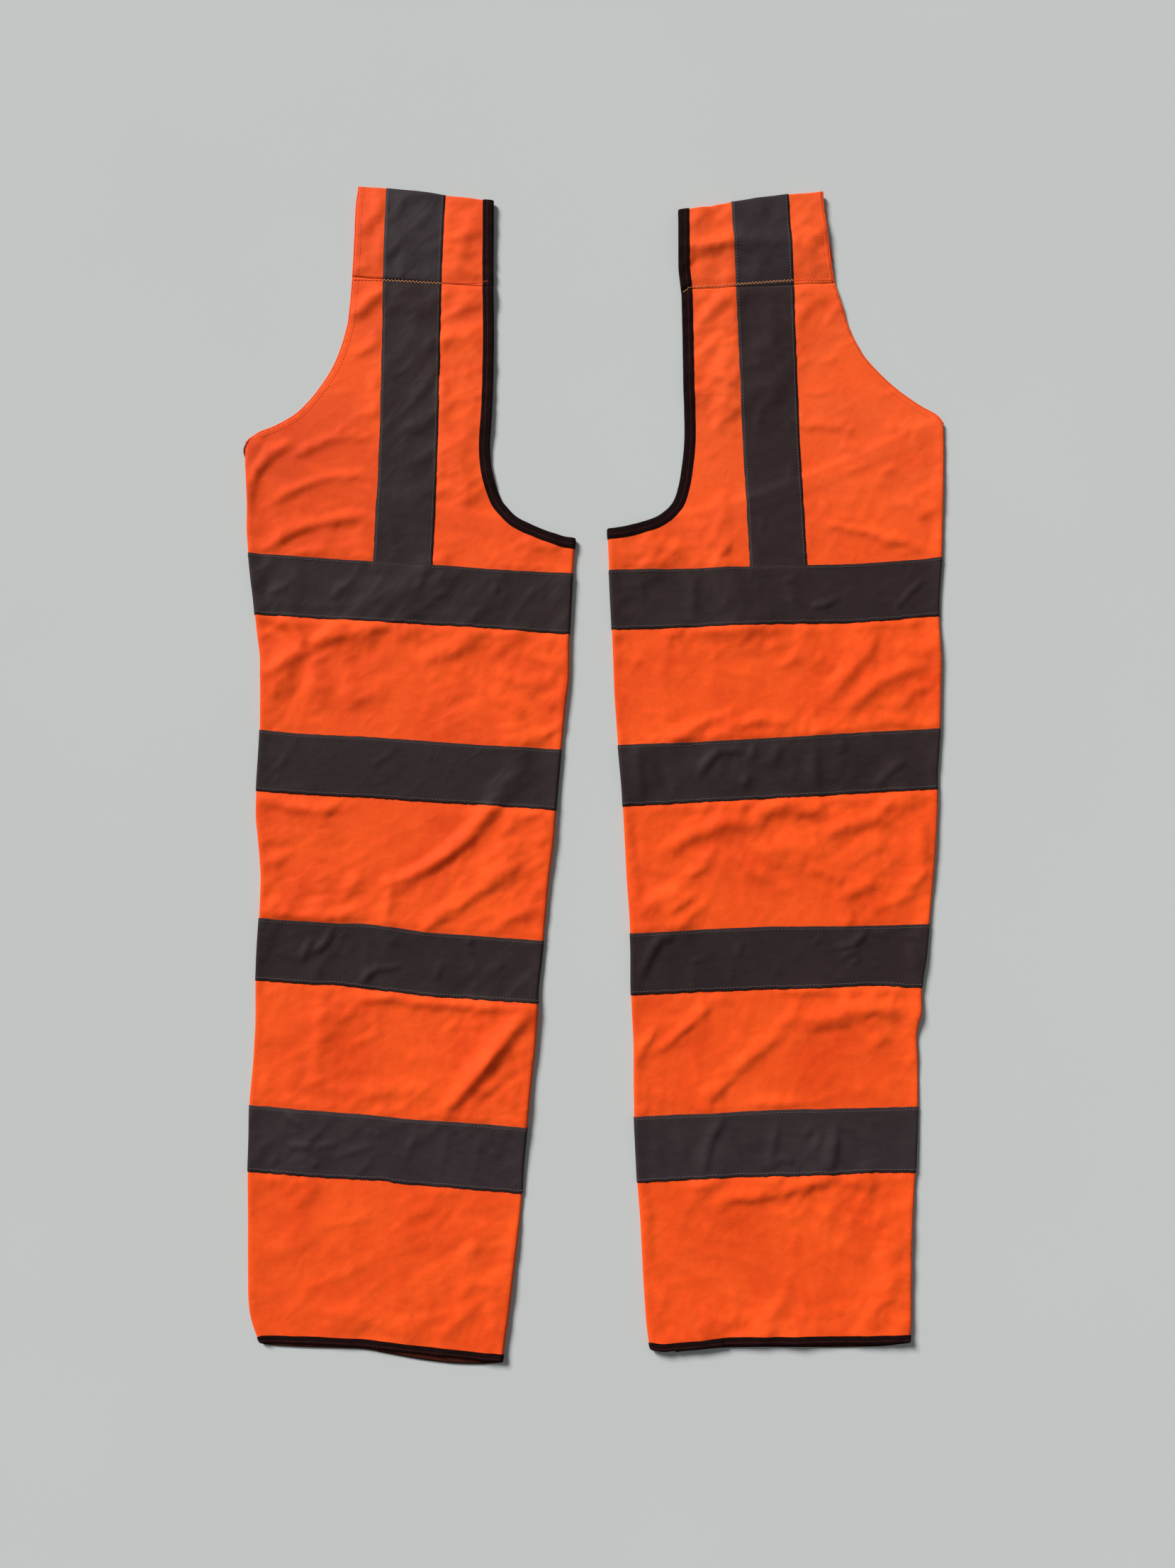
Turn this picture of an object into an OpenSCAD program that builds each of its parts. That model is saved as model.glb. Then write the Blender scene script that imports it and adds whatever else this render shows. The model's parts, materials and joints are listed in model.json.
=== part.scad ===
// A pair of high-visibility chaps: two separate cloth legs, laid flat with the
// front up. Each leg is a flattened cloth tube with four reflective bands round
// it, a strap at the top that turns over into a belt loop, a bound crotch curve,
// a turned hip edge and a bound ankle. Left and right are as seen from the front.
// Millimetres, +Z up, +Y towards the belt.
// On a leg, u runs from the inner edge outwards and v from the ankle upwards.

/* [Leg tube] */
// Flat width of the leg at the ankle
hem_w = 201; // [180:1:230]
// Flat width of the leg at the hip corner
hip_w = 287; // [270:1:310]
// Height of the hip corner above the ankle edge
hip_v = 735; // [720:1:745]
// Height of the crotch corner above the ankle edge
crotch_v = 660; // [650:0.5:675]
// Height of the knee fold line above the ankle edge
knee_v = 380; // [350:1:405]
// Height of the flattened tube as it lies on the floor
tube_h = 8; // [7:0.5:12]

/* [Strap and belt loop] */
// Distance from the inner edge of the leg to the inner edge of the strap
strap_in = 82; // [76:1:90]
// Distance from the inner edge of the leg to the outer edge of the strap
strap_out = 208; // [200:1:220]
// Height of the seam that closes the belt loop
loop_seam_v = 877; // [860:1:890]
// Height of the fold at the top of the belt loop
loop_top_v = 957; // [940:1:975]

/* [Reflective tape] */
// Width of the tape
tape_w = 50; // [40:1:60]
// Height of the lowest band's lower edge
band_v = 129; // [115:1:135]
// Distance from one band to the next
band_pitch = 150; // [140:1:152]
// Distance from the inner edge of the leg to the upright tape, at the top band
upright_u = 117; // [110:1:122]
// Distance from the inner edge of the leg to the upright tape, on the loop
upright_top_u = 121; // [110:1:130]

/* [Cloth and trims] */
// Thickness of the shell cloth
cloth_t = 0.6; // [0.4:0.1:1]
// Thickness of the reflective tape
tape_t = 0.4; // [0.3:0.1:0.6]
// Thickness of one ply of the black binding
bind_t = 0.4; // [0.3:0.1:0.6]
// Visible width of the black binding
bind_w = 8; // [6:0.5:12]
// Visible width of the binding round the ankle
ankle_bind_w = 10; // [8:0.5:14]
// Width of the turned hems
turn_w = 9; // [6:0.5:12]
// Width of the sewing thread
thread_w = 0.5; // [0.4:0.1:0.8]

/* [Folds] */
// Furthest the knee bends backwards, in degrees
knee_back = 100; // [60:5:110]
// Furthest the belt loop bends backwards, in degrees
loop_back = 90; // [60:5:100]

/* [How the pair lies] */
// Gap between the two legs at the crotch corners
crotch_gap = 28.7; // [10:0.1:60]
// Lean of each leg's inner edge from straight up
lay_angle = 3.7; // [0:0.1:6]

/* [Hidden] */

orange = [0.95, 0.30, 0.08];
grey = [0.22, 0.19, 0.19];
black = [0.06, 0.03, 0.04];
tan_thread = [0.75, 0.42, 0.20];
grey_thread = [0.55, 0.50, 0.48];

ply_gap = 0.02;              // slack between two plies that lie on each other
overcut = 1;                 // how far a cutter runs past what it cuts
reach = 5;                   // the same, for cutters in side view
bind_out = bind_t + ply_gap; // how far a binding stands out from the cloth
hem_inset = 0.5;             // from the cloth's edge to a turned hem

// Faces of the two plies of the tube
back_outer_z = tape_t;
back_inner_z = back_outer_z + cloth_t;
front_outer_z = tube_h - tape_t;
front_inner_z = front_outer_z - cloth_t;

// Where the parts end at the two fold lines
fold_gap = 0.1; // half the cut at each fold line
shin_end_v = knee_v - fold_gap;
thigh_start_v = knee_v + fold_gap;
thigh_end_v = loop_seam_v - fold_gap;
loop_start_v = loop_seam_v + fold_gap;

// ---- paths and plans ----------------------------------------------------

// Flat width of the tube at height v.
function tube_w(v) = hem_w + (hip_w - hem_w) * v / hip_v;

// Plan of the tube between two heights, grown by grow on both sides.
function tube_plan(v0, v1, grow = 0) =
  [[-grow, v0], [tube_w(v0) + grow, v0], [tube_w(v1) + grow, v1], [-grow, v1]];

function rect_plan(u0, u1, v0, v1) = [[u0, v0], [u1, v0], [u1, v1], [u0, v1]];

// Lower edge of a band, counted from 0 at the lowest.
function band_bottom(i) = band_v + i * band_pitch;

// Points first to last of a cubic curve cut into equal steps. Its controls are
// the start, two pull points and the end.
function cubic(controls, steps, first, last) = [
  for (i = [first:last]) let (t = i / steps, s = 1 - t)
    s * s * s * controls[0] + 3 * s * s * t * controls[1]
    + 3 * s * t * t * controls[2] + t * t * t * controls[3]];

// The same path moved sideways, to the left of its direction.
function shifted(path, distance) = [
  for (i = [0:len(path) - 1])
    let (
      before = path[max(0, i - 1)],
      after = path[min(len(path) - 1, i + 1)],
      along = (after - before) / norm(after - before))
    path[i] + distance * [-along[1], along[0]]];

function reversed(path) = [for (i = [len(path) - 1:-1:0]) path[i]];

// The three edge paths all have the cloth on their right. Controls are [u, v].
edge_steps = 14;
back_steps = 50;

crotch_controls = [
  [0, crotch_v],
  [50, crotch_v + 14.5],
  [strap_in - 11, crotch_v + 34.5],
  [strap_in - 8.5, crotch_v + 81.5]];
hip_controls = [
  [strap_out, thigh_end_v],
  [strap_out + 1, loop_seam_v - 70],
  [strap_out + 37, hip_v + 34],
  [hip_w, hip_v]];
back_controls = [
  [0, crotch_v],
  [90, crotch_v + 6],
  [200, hip_v - 42],
  [hip_w, hip_v]];

// From the crotch corner up to the loop seam.
crotch_path = concat(cubic(crotch_controls, edge_steps, 0, edge_steps), [[strap_in, thigh_end_v]]);

// From the loop seam down to the hip corner.
hip_path = cubic(hip_controls, edge_steps, 0, edge_steps);

// Top edge of the back ply between two of its steps, from crotch to hip corner.
function back_edge(first, last) = cubic(back_controls, back_steps, first, last);

// ---- building blocks ----------------------------------------------------

module prism(plan, z0, z1) {
  translate([0, 0, z0])
    linear_extrude(height = z1 - z0) polygon(plan);
}

// Strip along a path, between two distances to the left of it.
module strip(path, outer, inner, z0, z1) {
  prism(concat(shifted(path, outer), reversed(shifted(path, inner))), z0, z1);
}

// Draws a side view, as [v, z], across the leg from u0 to u1.
module across(u0, u1) {
  translate([u0, 0, 0]) rotate([90, 0, 90])
    linear_extrude(height = u1 - u0) children();
}

// Cutter for everything past the fold line at v; kept is 1 to keep what is above
// it and -1 to keep what is below. The end slopes away under the fold, so that
// the two sides clear each other when they bend back by angle.
module past_fold(v, kept, angle) {
  top_z = tube_h + 0.3;
  bottom_z = -1;
  far_v = v - kept * 30;
  slope = (top_z - bottom_z) * tan(angle / 2 + 1);
  across(-10, hip_w + 20) polygon([
    [v + kept * fold_gap, top_z],
    [v + kept * (fold_gap + slope), bottom_z],
    [far_v, bottom_z],
    [far_v, top_z]]);
}
module below_loop_seam() difference() {
  children();
  past_fold(loop_seam_v, -1, loop_back);
}
module above_loop_seam() difference() {
  children();
  past_fold(loop_seam_v, 1, loop_back);
}

// ---- leg tube -----------------------------------------------------------

module shin_panel() color(orange) difference() {
  difference() {
    prism(tube_plan(0, shin_end_v), back_outer_z, front_outer_z);
    prism(tube_plan(-overcut, shin_end_v + overcut, -cloth_t), back_inner_z, front_inner_z);
  }
  past_fold(knee_v, -1, knee_back);
}

module thigh_panel() color(orange) {
  start_v = thigh_start_v;
  start_w = tube_w(start_v);
  front = concat([[start_w, start_v]], reversed(hip_path), reversed(crotch_path), [[0, start_v]]);
  back = concat([[0, start_v]], back_edge(0, back_steps), [[start_w, start_v]]);
  // the two side folds stop just short of the trims on the corners
  inner_v = crotch_v - bind_w - 2;
  outer_v = hip_v - turn_w - 4;
  outer_w = tube_w(outer_v);
  outer_fold = [[start_w - cloth_t, start_v], [start_w, start_v],
    [outer_w, outer_v], [outer_w - cloth_t, outer_v]];
  difference() {
    union() {
      prism(front, front_inner_z, front_outer_z);
      prism(back, back_outer_z, back_inner_z);
      prism(rect_plan(0, cloth_t, start_v, inner_v), back_outer_z, front_outer_z);
      prism(outer_fold, back_outer_z, front_outer_z);
    }
    past_fold(knee_v, 1, knee_back);
    past_fold(loop_seam_v, -1, loop_back);
  }
}

// One reflective band round the whole tube.
module band(i) color(grey) {
  v0 = band_bottom(i);
  v1 = v0 + tape_w;
  difference() {
    prism(tube_plan(v0, v1, tape_t + ply_gap), 0, tube_h);
    prism(tube_plan(v0 - overcut, v1 + overcut, ply_gap),
      back_outer_z - ply_gap, front_outer_z + ply_gap);
  }
}

// Seam allowance down the middle of the back, on the inside.
seam_u = 118; // its middle
seam_w = 8;
seam_t = 1;
module seam_allowance(v0, v1) {
  z0 = back_inner_z + ply_gap;
  prism(rect_plan(seam_u - seam_w / 2, seam_u + seam_w / 2, v0, v1), z0, z0 + seam_t);
}
module thigh_back_seam() color(orange) difference() {
  seam_allowance(thigh_start_v, crotch_v - 4);
  past_fold(knee_v, 1, knee_back);
}
module shin_back_seam() color(orange) difference() {
  seam_allowance(ankle_bind_w + 1, shin_end_v);
  past_fold(knee_v, -1, knee_back);
}

// ---- edges --------------------------------------------------------------
// A binding is a block round the cloth's edge, less the cloth and its slack.

module crotch_binding() below_loop_seam() color(black) difference() {
  strip(crotch_path, bind_out, -bind_w, front_inner_z - bind_out, front_outer_z + bind_out);
  strip(crotch_path, ply_gap, -bind_w - 2 * overcut,
    front_inner_z - ply_gap, front_outer_z + ply_gap);
}

// The back ply's top edge is bound on its inner part and turned on its outer part.
module back_binding() color(black) {
  first = 1;
  last = 21;
  difference() {
    strip(back_edge(first, last), bind_out, -bind_w,
      back_outer_z - bind_t, back_inner_z + bind_out);
    strip(back_edge(first - 1, last + 1), ply_gap, -bind_w - 2 * overcut,
      back_outer_z - ply_gap, back_inner_z + ply_gap);
  }
}
module back_hem() color(orange) {
  z0 = back_inner_z + ply_gap;
  strip(back_edge(23, 48), -hem_inset, -turn_w, z0, z0 + cloth_t);
}

module hip_hem() color(orange) below_loop_seam() {
  z1 = front_inner_z - ply_gap;
  strip(hip_path, -ply_gap, -turn_w, z1 - cloth_t, z1);
}

// Folded over the ankle edge, so it covers the tube outside and inside.
module ankle_binding() color(black) difference() {
  prism(tube_plan(-bind_out, ankle_bind_w, bind_out),
    back_outer_z - bind_t, front_outer_z + bind_t);
  prism(tube_plan(-2 * overcut, ankle_bind_w + overcut, -cloth_t - bind_out),
    back_inner_z + bind_out, front_inner_z - bind_out);
  difference() {
    prism(tube_plan(-ply_gap, ankle_bind_w + overcut, ply_gap),
      back_outer_z - ply_gap, front_outer_z + ply_gap);
    prism(tube_plan(-2 * overcut, ankle_bind_w + 2 * overcut, -cloth_t - ply_gap),
      back_inner_z, front_inner_z);
  }
}

// ---- belt loop ----------------------------------------------------------
// The strap turns over at the top and comes down the back to the seam.

loop_r = (front_outer_z - back_outer_z) / 2;
loop_mid_z = (front_outer_z + back_outer_z) / 2;
loop_slope_v = loop_start_v + 14; // below this the back ply slopes up to the seam
loop_inside_v = loop_start_v + 6; // below this the loop is closed

// The turn at the top, in side view.
function loop_turn(r) = [
  for (a = [90:-15:-90])
    [loop_top_v - loop_r + r * cos(a), loop_mid_z + r * sin(a)]];

// Side view of the loop as [v, z], grown outwards.
function loop_outside(grow) = concat(
  [[loop_start_v, front_outer_z + grow]],
  loop_turn(loop_r + grow),
  [[loop_slope_v, back_outer_z - grow], [loop_start_v, front_inner_z - cloth_t - grow]]);

// Side view of the hollow, a given depth in from the outside of the loop.
function loop_inside(depth) = concat(
  [[loop_inside_v, front_outer_z - depth]],
  loop_turn(loop_r - depth),
  [[loop_slope_v, back_outer_z + depth], [loop_inside_v, front_outer_z - depth - 0.5]]);

// Side view cutter that clears the end of a trim at the seam.
module open_end() {
  translate([loop_seam_v - reach, -reach])
    square([reach + fold_gap + 0.5, tube_h + 2 * reach]);
}

module belt_loop() color(orange) above_loop_seam() across(strap_in, strap_out) difference() {
  polygon(loop_outside(0));
  polygon(loop_inside(cloth_t));
}

module loop_tape() color(grey) above_loop_seam()
  across(upright_top_u, upright_top_u + tape_w) difference() {
    polygon(loop_outside(tape_t));
    polygon(loop_outside(ply_gap));
    open_end();
  }

module loop_binding() color(black) above_loop_seam() difference() {
  across(strap_in - bind_out, strap_in + bind_w) difference() {
    polygon(loop_outside(bind_t));
    polygon(loop_inside(cloth_t + bind_out));
    open_end();
  }
  across(strap_in - ply_gap, strap_in + bind_w + overcut) difference() {
    polygon(loop_outside(ply_gap));
    polygon(loop_inside(cloth_t + ply_gap));
  }
}

module loop_hem() color(orange) across(strap_out - turn_w, strap_out - hem_inset) intersection() {
  difference() {
    polygon(loop_inside(cloth_t + ply_gap));
    polygon(loop_inside(2 * cloth_t + ply_gap));
  }
  translate([loop_seam_v + 18, -reach]) square([loop_top_v, tube_h + 2 * reach]);
}

// ---- upright tape -------------------------------------------------------

top_band_end_v = band_bottom(3) + tape_w;
upright_v0 = top_band_end_v + ply_gap;

// Inner edge of the upright tape at height v.
function upright_at(v) = upright_u
  + (upright_top_u - upright_u) * (v - top_band_end_v) / (loop_seam_v - top_band_end_v);
upright_u0 = upright_at(upright_v0);
upright_u1 = upright_at(thigh_end_v);

module thigh_tape() color(grey) below_loop_seam() prism([
  [upright_u0, upright_v0], [upright_u0 + tape_w, upright_v0],
  [upright_u1 + tape_w, thigh_end_v], [upright_u1, thigh_end_v]],
  front_outer_z + ply_gap, tube_h);

// ---- thread on the front ------------------------------------------------

thread_t = 0.2;
stitch_in = 2;    // from the edge of a tape or hem to its row of thread
stitch_clear = 4; // from the loop seam to the ends of the rows on the thigh
zigzag_step = 2.2;
zigzag_swing = 0.6;
zigzag_v = loop_seam_v - 1.7;

// Zigzag stitches across the strap from u0 to u1, lying on the surface at z.
module zigzag(u0, u1, z) {
  count = floor((u1 - u0) / zigzag_step);
  step = (u1 - u0) / count;
  half = [0, thread_w / 2];
  line = [for (i = [0:count])
    [u0 + i * step, zigzag_v + (i % 2 == 0 ? zigzag_swing : -zigzag_swing)]];
  outline = concat([for (p = line) p + half], [for (p = reversed(line)) p - half]);
  prism(outline, z + ply_gap, z + ply_gap + thread_t);
}
module loop_zigzag() color(tan_thread) {
  tape_end = upright_u1 + tape_w;
  zigzag(strap_in + bind_w + 0.5, upright_u1 - 0.5, front_outer_z);
  zigzag(upright_u1 + 0.3, tape_end - 0.3, tube_h);
  zigzag(tape_end + 0.5, strap_out - 1, front_outer_z);
}

// A straight row of thread on top of the tape.
module thread_row(start, end) {
  along = (end - start) / norm(end - start);
  half = [-along[1], along[0]] * thread_w / 2;
  prism([start - half, end - half, end + half, start + half],
    tube_h + ply_gap, tube_h + ply_gap + thread_t);
}
module band_rows(i) {
  for (inset = [stitch_in, tape_w - stitch_in]) {
    v = band_bottom(i) + inset;
    thread_row([1, v], [tube_w(v) - 1, v]);
  }
}
module hip_row() {
  inner = stitch_in - turn_w;
  z0 = front_outer_z + ply_gap;
  difference() {
    strip(hip_path, inner, inner - thread_w, z0, z0 + thread_t);
    translate([strap_in, loop_seam_v - stitch_clear, 0]) cube([hip_w, 10, 2 * tube_h]);
  }
}
module thigh_stitching() color(grey_thread) {
  for (i = [2, 3]) band_rows(i);
  for (inset = [stitch_in, tape_w - stitch_in])
    thread_row([upright_u0 + inset, upright_v0 + 1],
      [upright_u1 + inset, thigh_end_v - stitch_clear]);
  hip_row();
}
module shin_stitching() color(grey_thread) {
  for (i = [0, 1]) band_rows(i);
}

// ---- placing the legs ---------------------------------------------------

// The ankle's inner corner; the pair is centred on the origin.
hem_x = crotch_gap / 2 + crotch_v * sin(lay_angle);
high_y = loop_top_v * cos(lay_angle) + strap_out * sin(lay_angle);
low_y = -bind_out * (cos(lay_angle) + sin(lay_angle));
hem_y = -(high_y + low_y) / 2;

module right() translate([hem_x, hem_y, 0]) rotate([0, 0, lay_angle]) children();
module left() mirror([1, 0, 0]) right() children();

module piece(name) {
  if (name == "belt_loop") belt_loop();
  if (name == "loop_tape") loop_tape();
  if (name == "loop_binding") loop_binding();
  if (name == "loop_hem") loop_hem();
  if (name == "thigh_panel") thigh_panel();
  if (name == "thigh_tape") thigh_tape();
  if (name == "thigh_band_1") band(3);
  if (name == "thigh_band_2") band(2);
  if (name == "crotch_binding") crotch_binding();
  if (name == "hip_hem") hip_hem();
  if (name == "back_binding") back_binding();
  if (name == "back_hem") back_hem();
  if (name == "thigh_back_seam") thigh_back_seam();
  if (name == "loop_zigzag") loop_zigzag();
  if (name == "thigh_stitching") thigh_stitching();
  if (name == "shin_panel") shin_panel();
  if (name == "shin_band_1") band(1);
  if (name == "shin_band_2") band(0);
  if (name == "ankle_binding") ankle_binding();
  if (name == "shin_back_seam") shin_back_seam();
  if (name == "shin_stitching") shin_stitching();
}
PIECES = [
  "belt_loop", "loop_tape", "loop_binding", "loop_hem", "thigh_panel", "thigh_tape",
  "thigh_band_1", "thigh_band_2", "crotch_binding", "hip_hem", "back_binding", "back_hem",
  "thigh_back_seam", "loop_zigzag", "thigh_stitching", "shin_panel", "shin_band_1",
  "shin_band_2", "ankle_binding", "shin_back_seam", "shin_stitching"
];

for (name = PIECES) {
  left() piece(name);
  right() piece(name);
}
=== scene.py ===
import bmesh
import bpy
import json
import math
import numpy as np
from functools import cached_property
from mathutils import Matrix, Vector
from mathutils.geometry import delaunay_2d_cdt


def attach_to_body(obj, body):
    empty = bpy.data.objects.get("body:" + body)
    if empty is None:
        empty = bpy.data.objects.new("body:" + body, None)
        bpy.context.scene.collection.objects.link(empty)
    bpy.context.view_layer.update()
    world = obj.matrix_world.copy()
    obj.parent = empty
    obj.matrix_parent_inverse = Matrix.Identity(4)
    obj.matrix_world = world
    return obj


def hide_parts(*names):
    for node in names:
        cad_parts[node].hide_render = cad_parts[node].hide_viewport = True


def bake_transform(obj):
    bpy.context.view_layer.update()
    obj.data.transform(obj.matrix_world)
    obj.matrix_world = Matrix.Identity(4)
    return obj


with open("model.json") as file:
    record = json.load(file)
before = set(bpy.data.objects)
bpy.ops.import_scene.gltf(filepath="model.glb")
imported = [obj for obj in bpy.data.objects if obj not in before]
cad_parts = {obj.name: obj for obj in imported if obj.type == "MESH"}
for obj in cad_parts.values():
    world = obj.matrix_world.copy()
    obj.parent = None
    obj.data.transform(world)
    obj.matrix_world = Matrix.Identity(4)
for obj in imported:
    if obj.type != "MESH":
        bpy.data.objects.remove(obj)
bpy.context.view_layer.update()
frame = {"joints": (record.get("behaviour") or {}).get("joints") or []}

# ---------------------------------------------------------------- the frame
SEAM_V = 877.0        # the seam that closes the belt loop
LOOP_U = 145.0        # the middle of the belt loop
SIDE_SHIFT = 1.05     # right leg this much up y, left leg as much down

joints = {joint["name"]: joint for joint in frame["joints"]}
fold_axis = joints["right_loop_fold"]["axis"]
lean = math.atan2(fold_axis[1], fold_axis[0])
COS, SIN = math.cos(lean), math.sin(lean)
fold_pos = joints["right_loop_fold"]["pos_m"]
ORIGIN = np.array([fold_pos[0] * 1000 - (LOOP_U * COS - SEAM_V * SIN),
                   fold_pos[1] * 1000 - (LOOP_U * SIN + SEAM_V * COS)])
knee_pos = joints["right_knee_fold"]["pos_m"]
KNEE_V = -(knee_pos[0] * 1000 - ORIGIN[0]) * SIN + (knee_pos[1] * 1000 - ORIGIN[1]) * COS

CLOTH = 0.6           # thickness of the shell cloth
TAPE_THICK = 0.4
ROLL = 1.45           # radius of the cloth's mid-surface round a side fold
TURN = math.pi * ROLL
LOOP_ROLL = 1.9       # the same round the belt loop's top
LOOP_TURN = math.pi * LOOP_ROLL
STRAP_MID = 1.3       # height of a single ply's mid-surface on the floor
BACK_MID = 1.2        # height of the back ply's mid-surface
BACK_TOP_V = 690.0    # about where the back seam meets the back ply's top edge
HEX = 0.866           # row pitch over point pitch in a triangular lattice
POINT_PITCH = 2.5   # spacing of the front cloth's points

# Where a piece crosses a bend: lower body names, u, and the v of start and end. The script bakes
# such pieces in place and bends none of them.
KNEE_BEND = ("thigh", "shin", 120, KNEE_V + 17, KNEE_V - 17)
LOOP_BEND = ("thigh", "belt_loop", 145, SEAM_V, SEAM_V + 15)


def to_row(side, points):
    """Leg millimetres to scene metres."""
    points = np.asarray(points, float)
    u, v, z = points[..., 0], points[..., 1], points[..., 2]
    x = ORIGIN[0] + u * COS - v * SIN
    y = ORIGIN[1] + u * SIN + v * COS + (SIDE_SHIFT if side == "right" else -SIDE_SHIFT)
    if side == "left":
        x = -x
    return np.stack([x, y, z], -1) * 0.001


# ---------------------------------------------------------------- curves, noise
def pairs(text):
    """Reads 'a,b a,b ...' into rows of two."""
    return np.array([pair.split(",") for pair in text.split()], float)


def resample(curve, step):
    run = np.r_[0, np.cumsum(np.linalg.norm(np.diff(curve, axis=0), axis=1))]
    count = max(2, int(round(run[-1] / step)) + 1)
    at = np.linspace(0, run[-1], count)
    return np.stack([np.interp(at, run, curve[:, k]) for k in range(curve.shape[1])], -1)


def catmull(points, step):
    """A Catmull-Rom curve through the points, resampled evenly."""
    points = np.array(points, float)
    ends = np.vstack([2 * points[0] - points[1], points, 2 * points[-1] - points[-2]])
    out = []
    for i in range(len(points) - 1):
        a, b, c, d = ends[i:i + 4]
        count = max(3, int(np.ceil(np.linalg.norm(c - b) / step * 2)))
        t = np.linspace(0, 1, count, endpoint=False)[:, None]
        out.append(0.5 * (2 * b + (c - a) * t + (2 * a - 5 * b + 4 * c - d) * t ** 2
                          + (3 * b - a - 3 * c + d) * t ** 3))
    out.append(points[-1:])
    return resample(np.vstack(out), step)


def gauss_kernel(sigma):
    reach = max(1, int(3 * sigma))
    kernel = np.exp(-np.arange(-reach, reach + 1) ** 2 / (2 * sigma * sigma))
    return kernel / kernel.sum(), reach


def smooth_line(text, soft):
    """A smooth function through the (x, y) pairs of a table."""
    xs, ys = pairs(text).T
    x = np.arange(-60, 1040, 1.0)
    kernel, reach = gauss_kernel(soft)
    y = np.convolve(np.pad(np.interp(x, xs, ys), reach, mode="edge"), kernel, "valid")
    return lambda at: np.interp(at, x, y)


def lattice_hash(ix, iy, seed):
    n = (ix.astype(np.int64) * 374761393 + iy.astype(np.int64) * 668265263
         + seed * 974634777) & 0xFFFFFFFF
    n = ((n ^ (n >> 13)) * 1274126177) & 0xFFFFFFFF
    n = ((n ^ (n >> 15)) * 2246822519) & 0xFFFFFFFF
    return ((n ^ (n >> 16)) & 0xFFFFFF) / float(0x7FFFFF) - 1.0


def noise(x, y, seed):
    ix, iy = np.floor(x), np.floor(y)
    fx, fy = x - ix, y - iy
    wx = fx ** 3 * (fx * (6 * fx - 15) + 10)
    wy = fy ** 3 * (fy * (6 * fy - 15) + 10)
    a, b = lattice_hash(ix, iy, seed), lattice_hash(ix + 1, iy, seed)
    c, d = lattice_hash(ix, iy + 1, seed), lattice_hash(ix + 1, iy + 1, seed)
    return (a * (1 - wx) + b * wx) * (1 - wy) + (c * (1 - wx) + d * wx) * wy


def fbm(x, y, seed, octaves):
    out, amp, freq = 0.0, 1.0, 1.0
    for k in range(octaves):
        out = out + amp * noise(x * freq + 17.3 * k, y * freq - 9.1 * k, seed + k)
        amp, freq = amp * 0.5, freq * 2.03
    return out


def crests(x, y, seed, octaves):
    return 1 - np.abs(fbm(x, y, seed, octaves))


def ridged(x, y, seed, octaves):
    """Sharp crests with smooth hollows between them."""
    out, amp, weight, freq = 0.0, 1.0, 1.0, 1.0
    for k in range(octaves):
        value = noise(x * freq + 17.3 * k, y * freq - 9.1 * k, seed + k)
        crest = (1 - np.abs(value)) ** 2 * weight
        out = out + amp * crest
        amp, weight, freq = amp * 0.5, np.clip(crest * 2, 0, 1), freq * 2
    return out


def blur(grid, sigma):
    kernel, reach = gauss_kernel(sigma)
    for axis in (0, 1):
        widths = [(reach, reach) if a == axis else (0, 0) for a in (0, 1)]
        padded = np.pad(grid, widths, mode="edge")
        out = np.zeros_like(grid)
        for i, weight in enumerate(kernel):
            out += weight * np.take(padded, range(i, i + grid.shape[axis]), axis=axis)
        grid = out
    return grid


def smoothstep(start, end, x):
    t = np.clip((x - start) / (end - start), 0, 1)
    return t * t * (3 - 2 * t)


def between(x, low, high, outer, inner):
    """1 from low to high; fades from inner mm inside each limit to outer mm outside."""
    return smoothstep(low - outer, low + inner, x) * smoothstep(high + outer, high - inner, x)


def bell(x, width):
    return np.exp(-(x / width) ** 2)


def blend_to(old, new, weight):
    return old * (1 - weight) + new * weight


def turned(x, y, angle):
    cos, sin = math.cos(angle), math.sin(angle)
    return x * cos + y * sin, y * cos - x * sin


def unit(vectors):
    return vectors / np.linalg.norm(vectors, axis=-1, keepdims=True)


def bilinear(grid, x, y):
    j, i = x.astype(int), y.astype(int)
    fx, fy = x - j, y - i
    return ((grid[i, j] * (1 - fx) + grid[i, j + 1] * fx) * (1 - fy)
            + (grid[i + 1, j] * (1 - fx) + grid[i + 1, j + 1] * fx) * fy)


def inside(polygon, points):
    x, y = points[:, 0], points[:, 1]
    out = np.zeros(len(points), bool)
    for (x0, y0), (x1, y1) in zip(polygon, np.roll(polygon, -1, axis=0)):
        if y0 == y1:
            continue
        crosses = (y0 > y) != (y1 > y)
        out ^= crosses & (x < x0 + (y - y0) * (x1 - x0) / (y1 - y0))
    return out


def edge_dist(polygon, points):
    """Distance to the polygon's edges, right for points close to them."""
    reach = 12
    dist = np.full(len(points), 1e9)
    for a, b in zip(polygon, np.roll(polygon, -1, axis=0)):
        edge = b - a
        near = ((np.abs(points[:, 0] - (a[0] + b[0]) / 2) < reach)
                & (np.abs(points[:, 1] - (a[1] + b[1]) / 2) < reach))
        if not near.any():
            continue
        p = points[near]
        t = np.clip(((p - a) @ edge) / max(edge @ edge, 1e-9), 0, 1)
        gap = np.hypot(p[:, 0] - a[0] - t * edge[0], p[:, 1] - a[1] - t * edge[1])
        dist[near] = np.minimum(dist[near], gap)
    return dist


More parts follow.
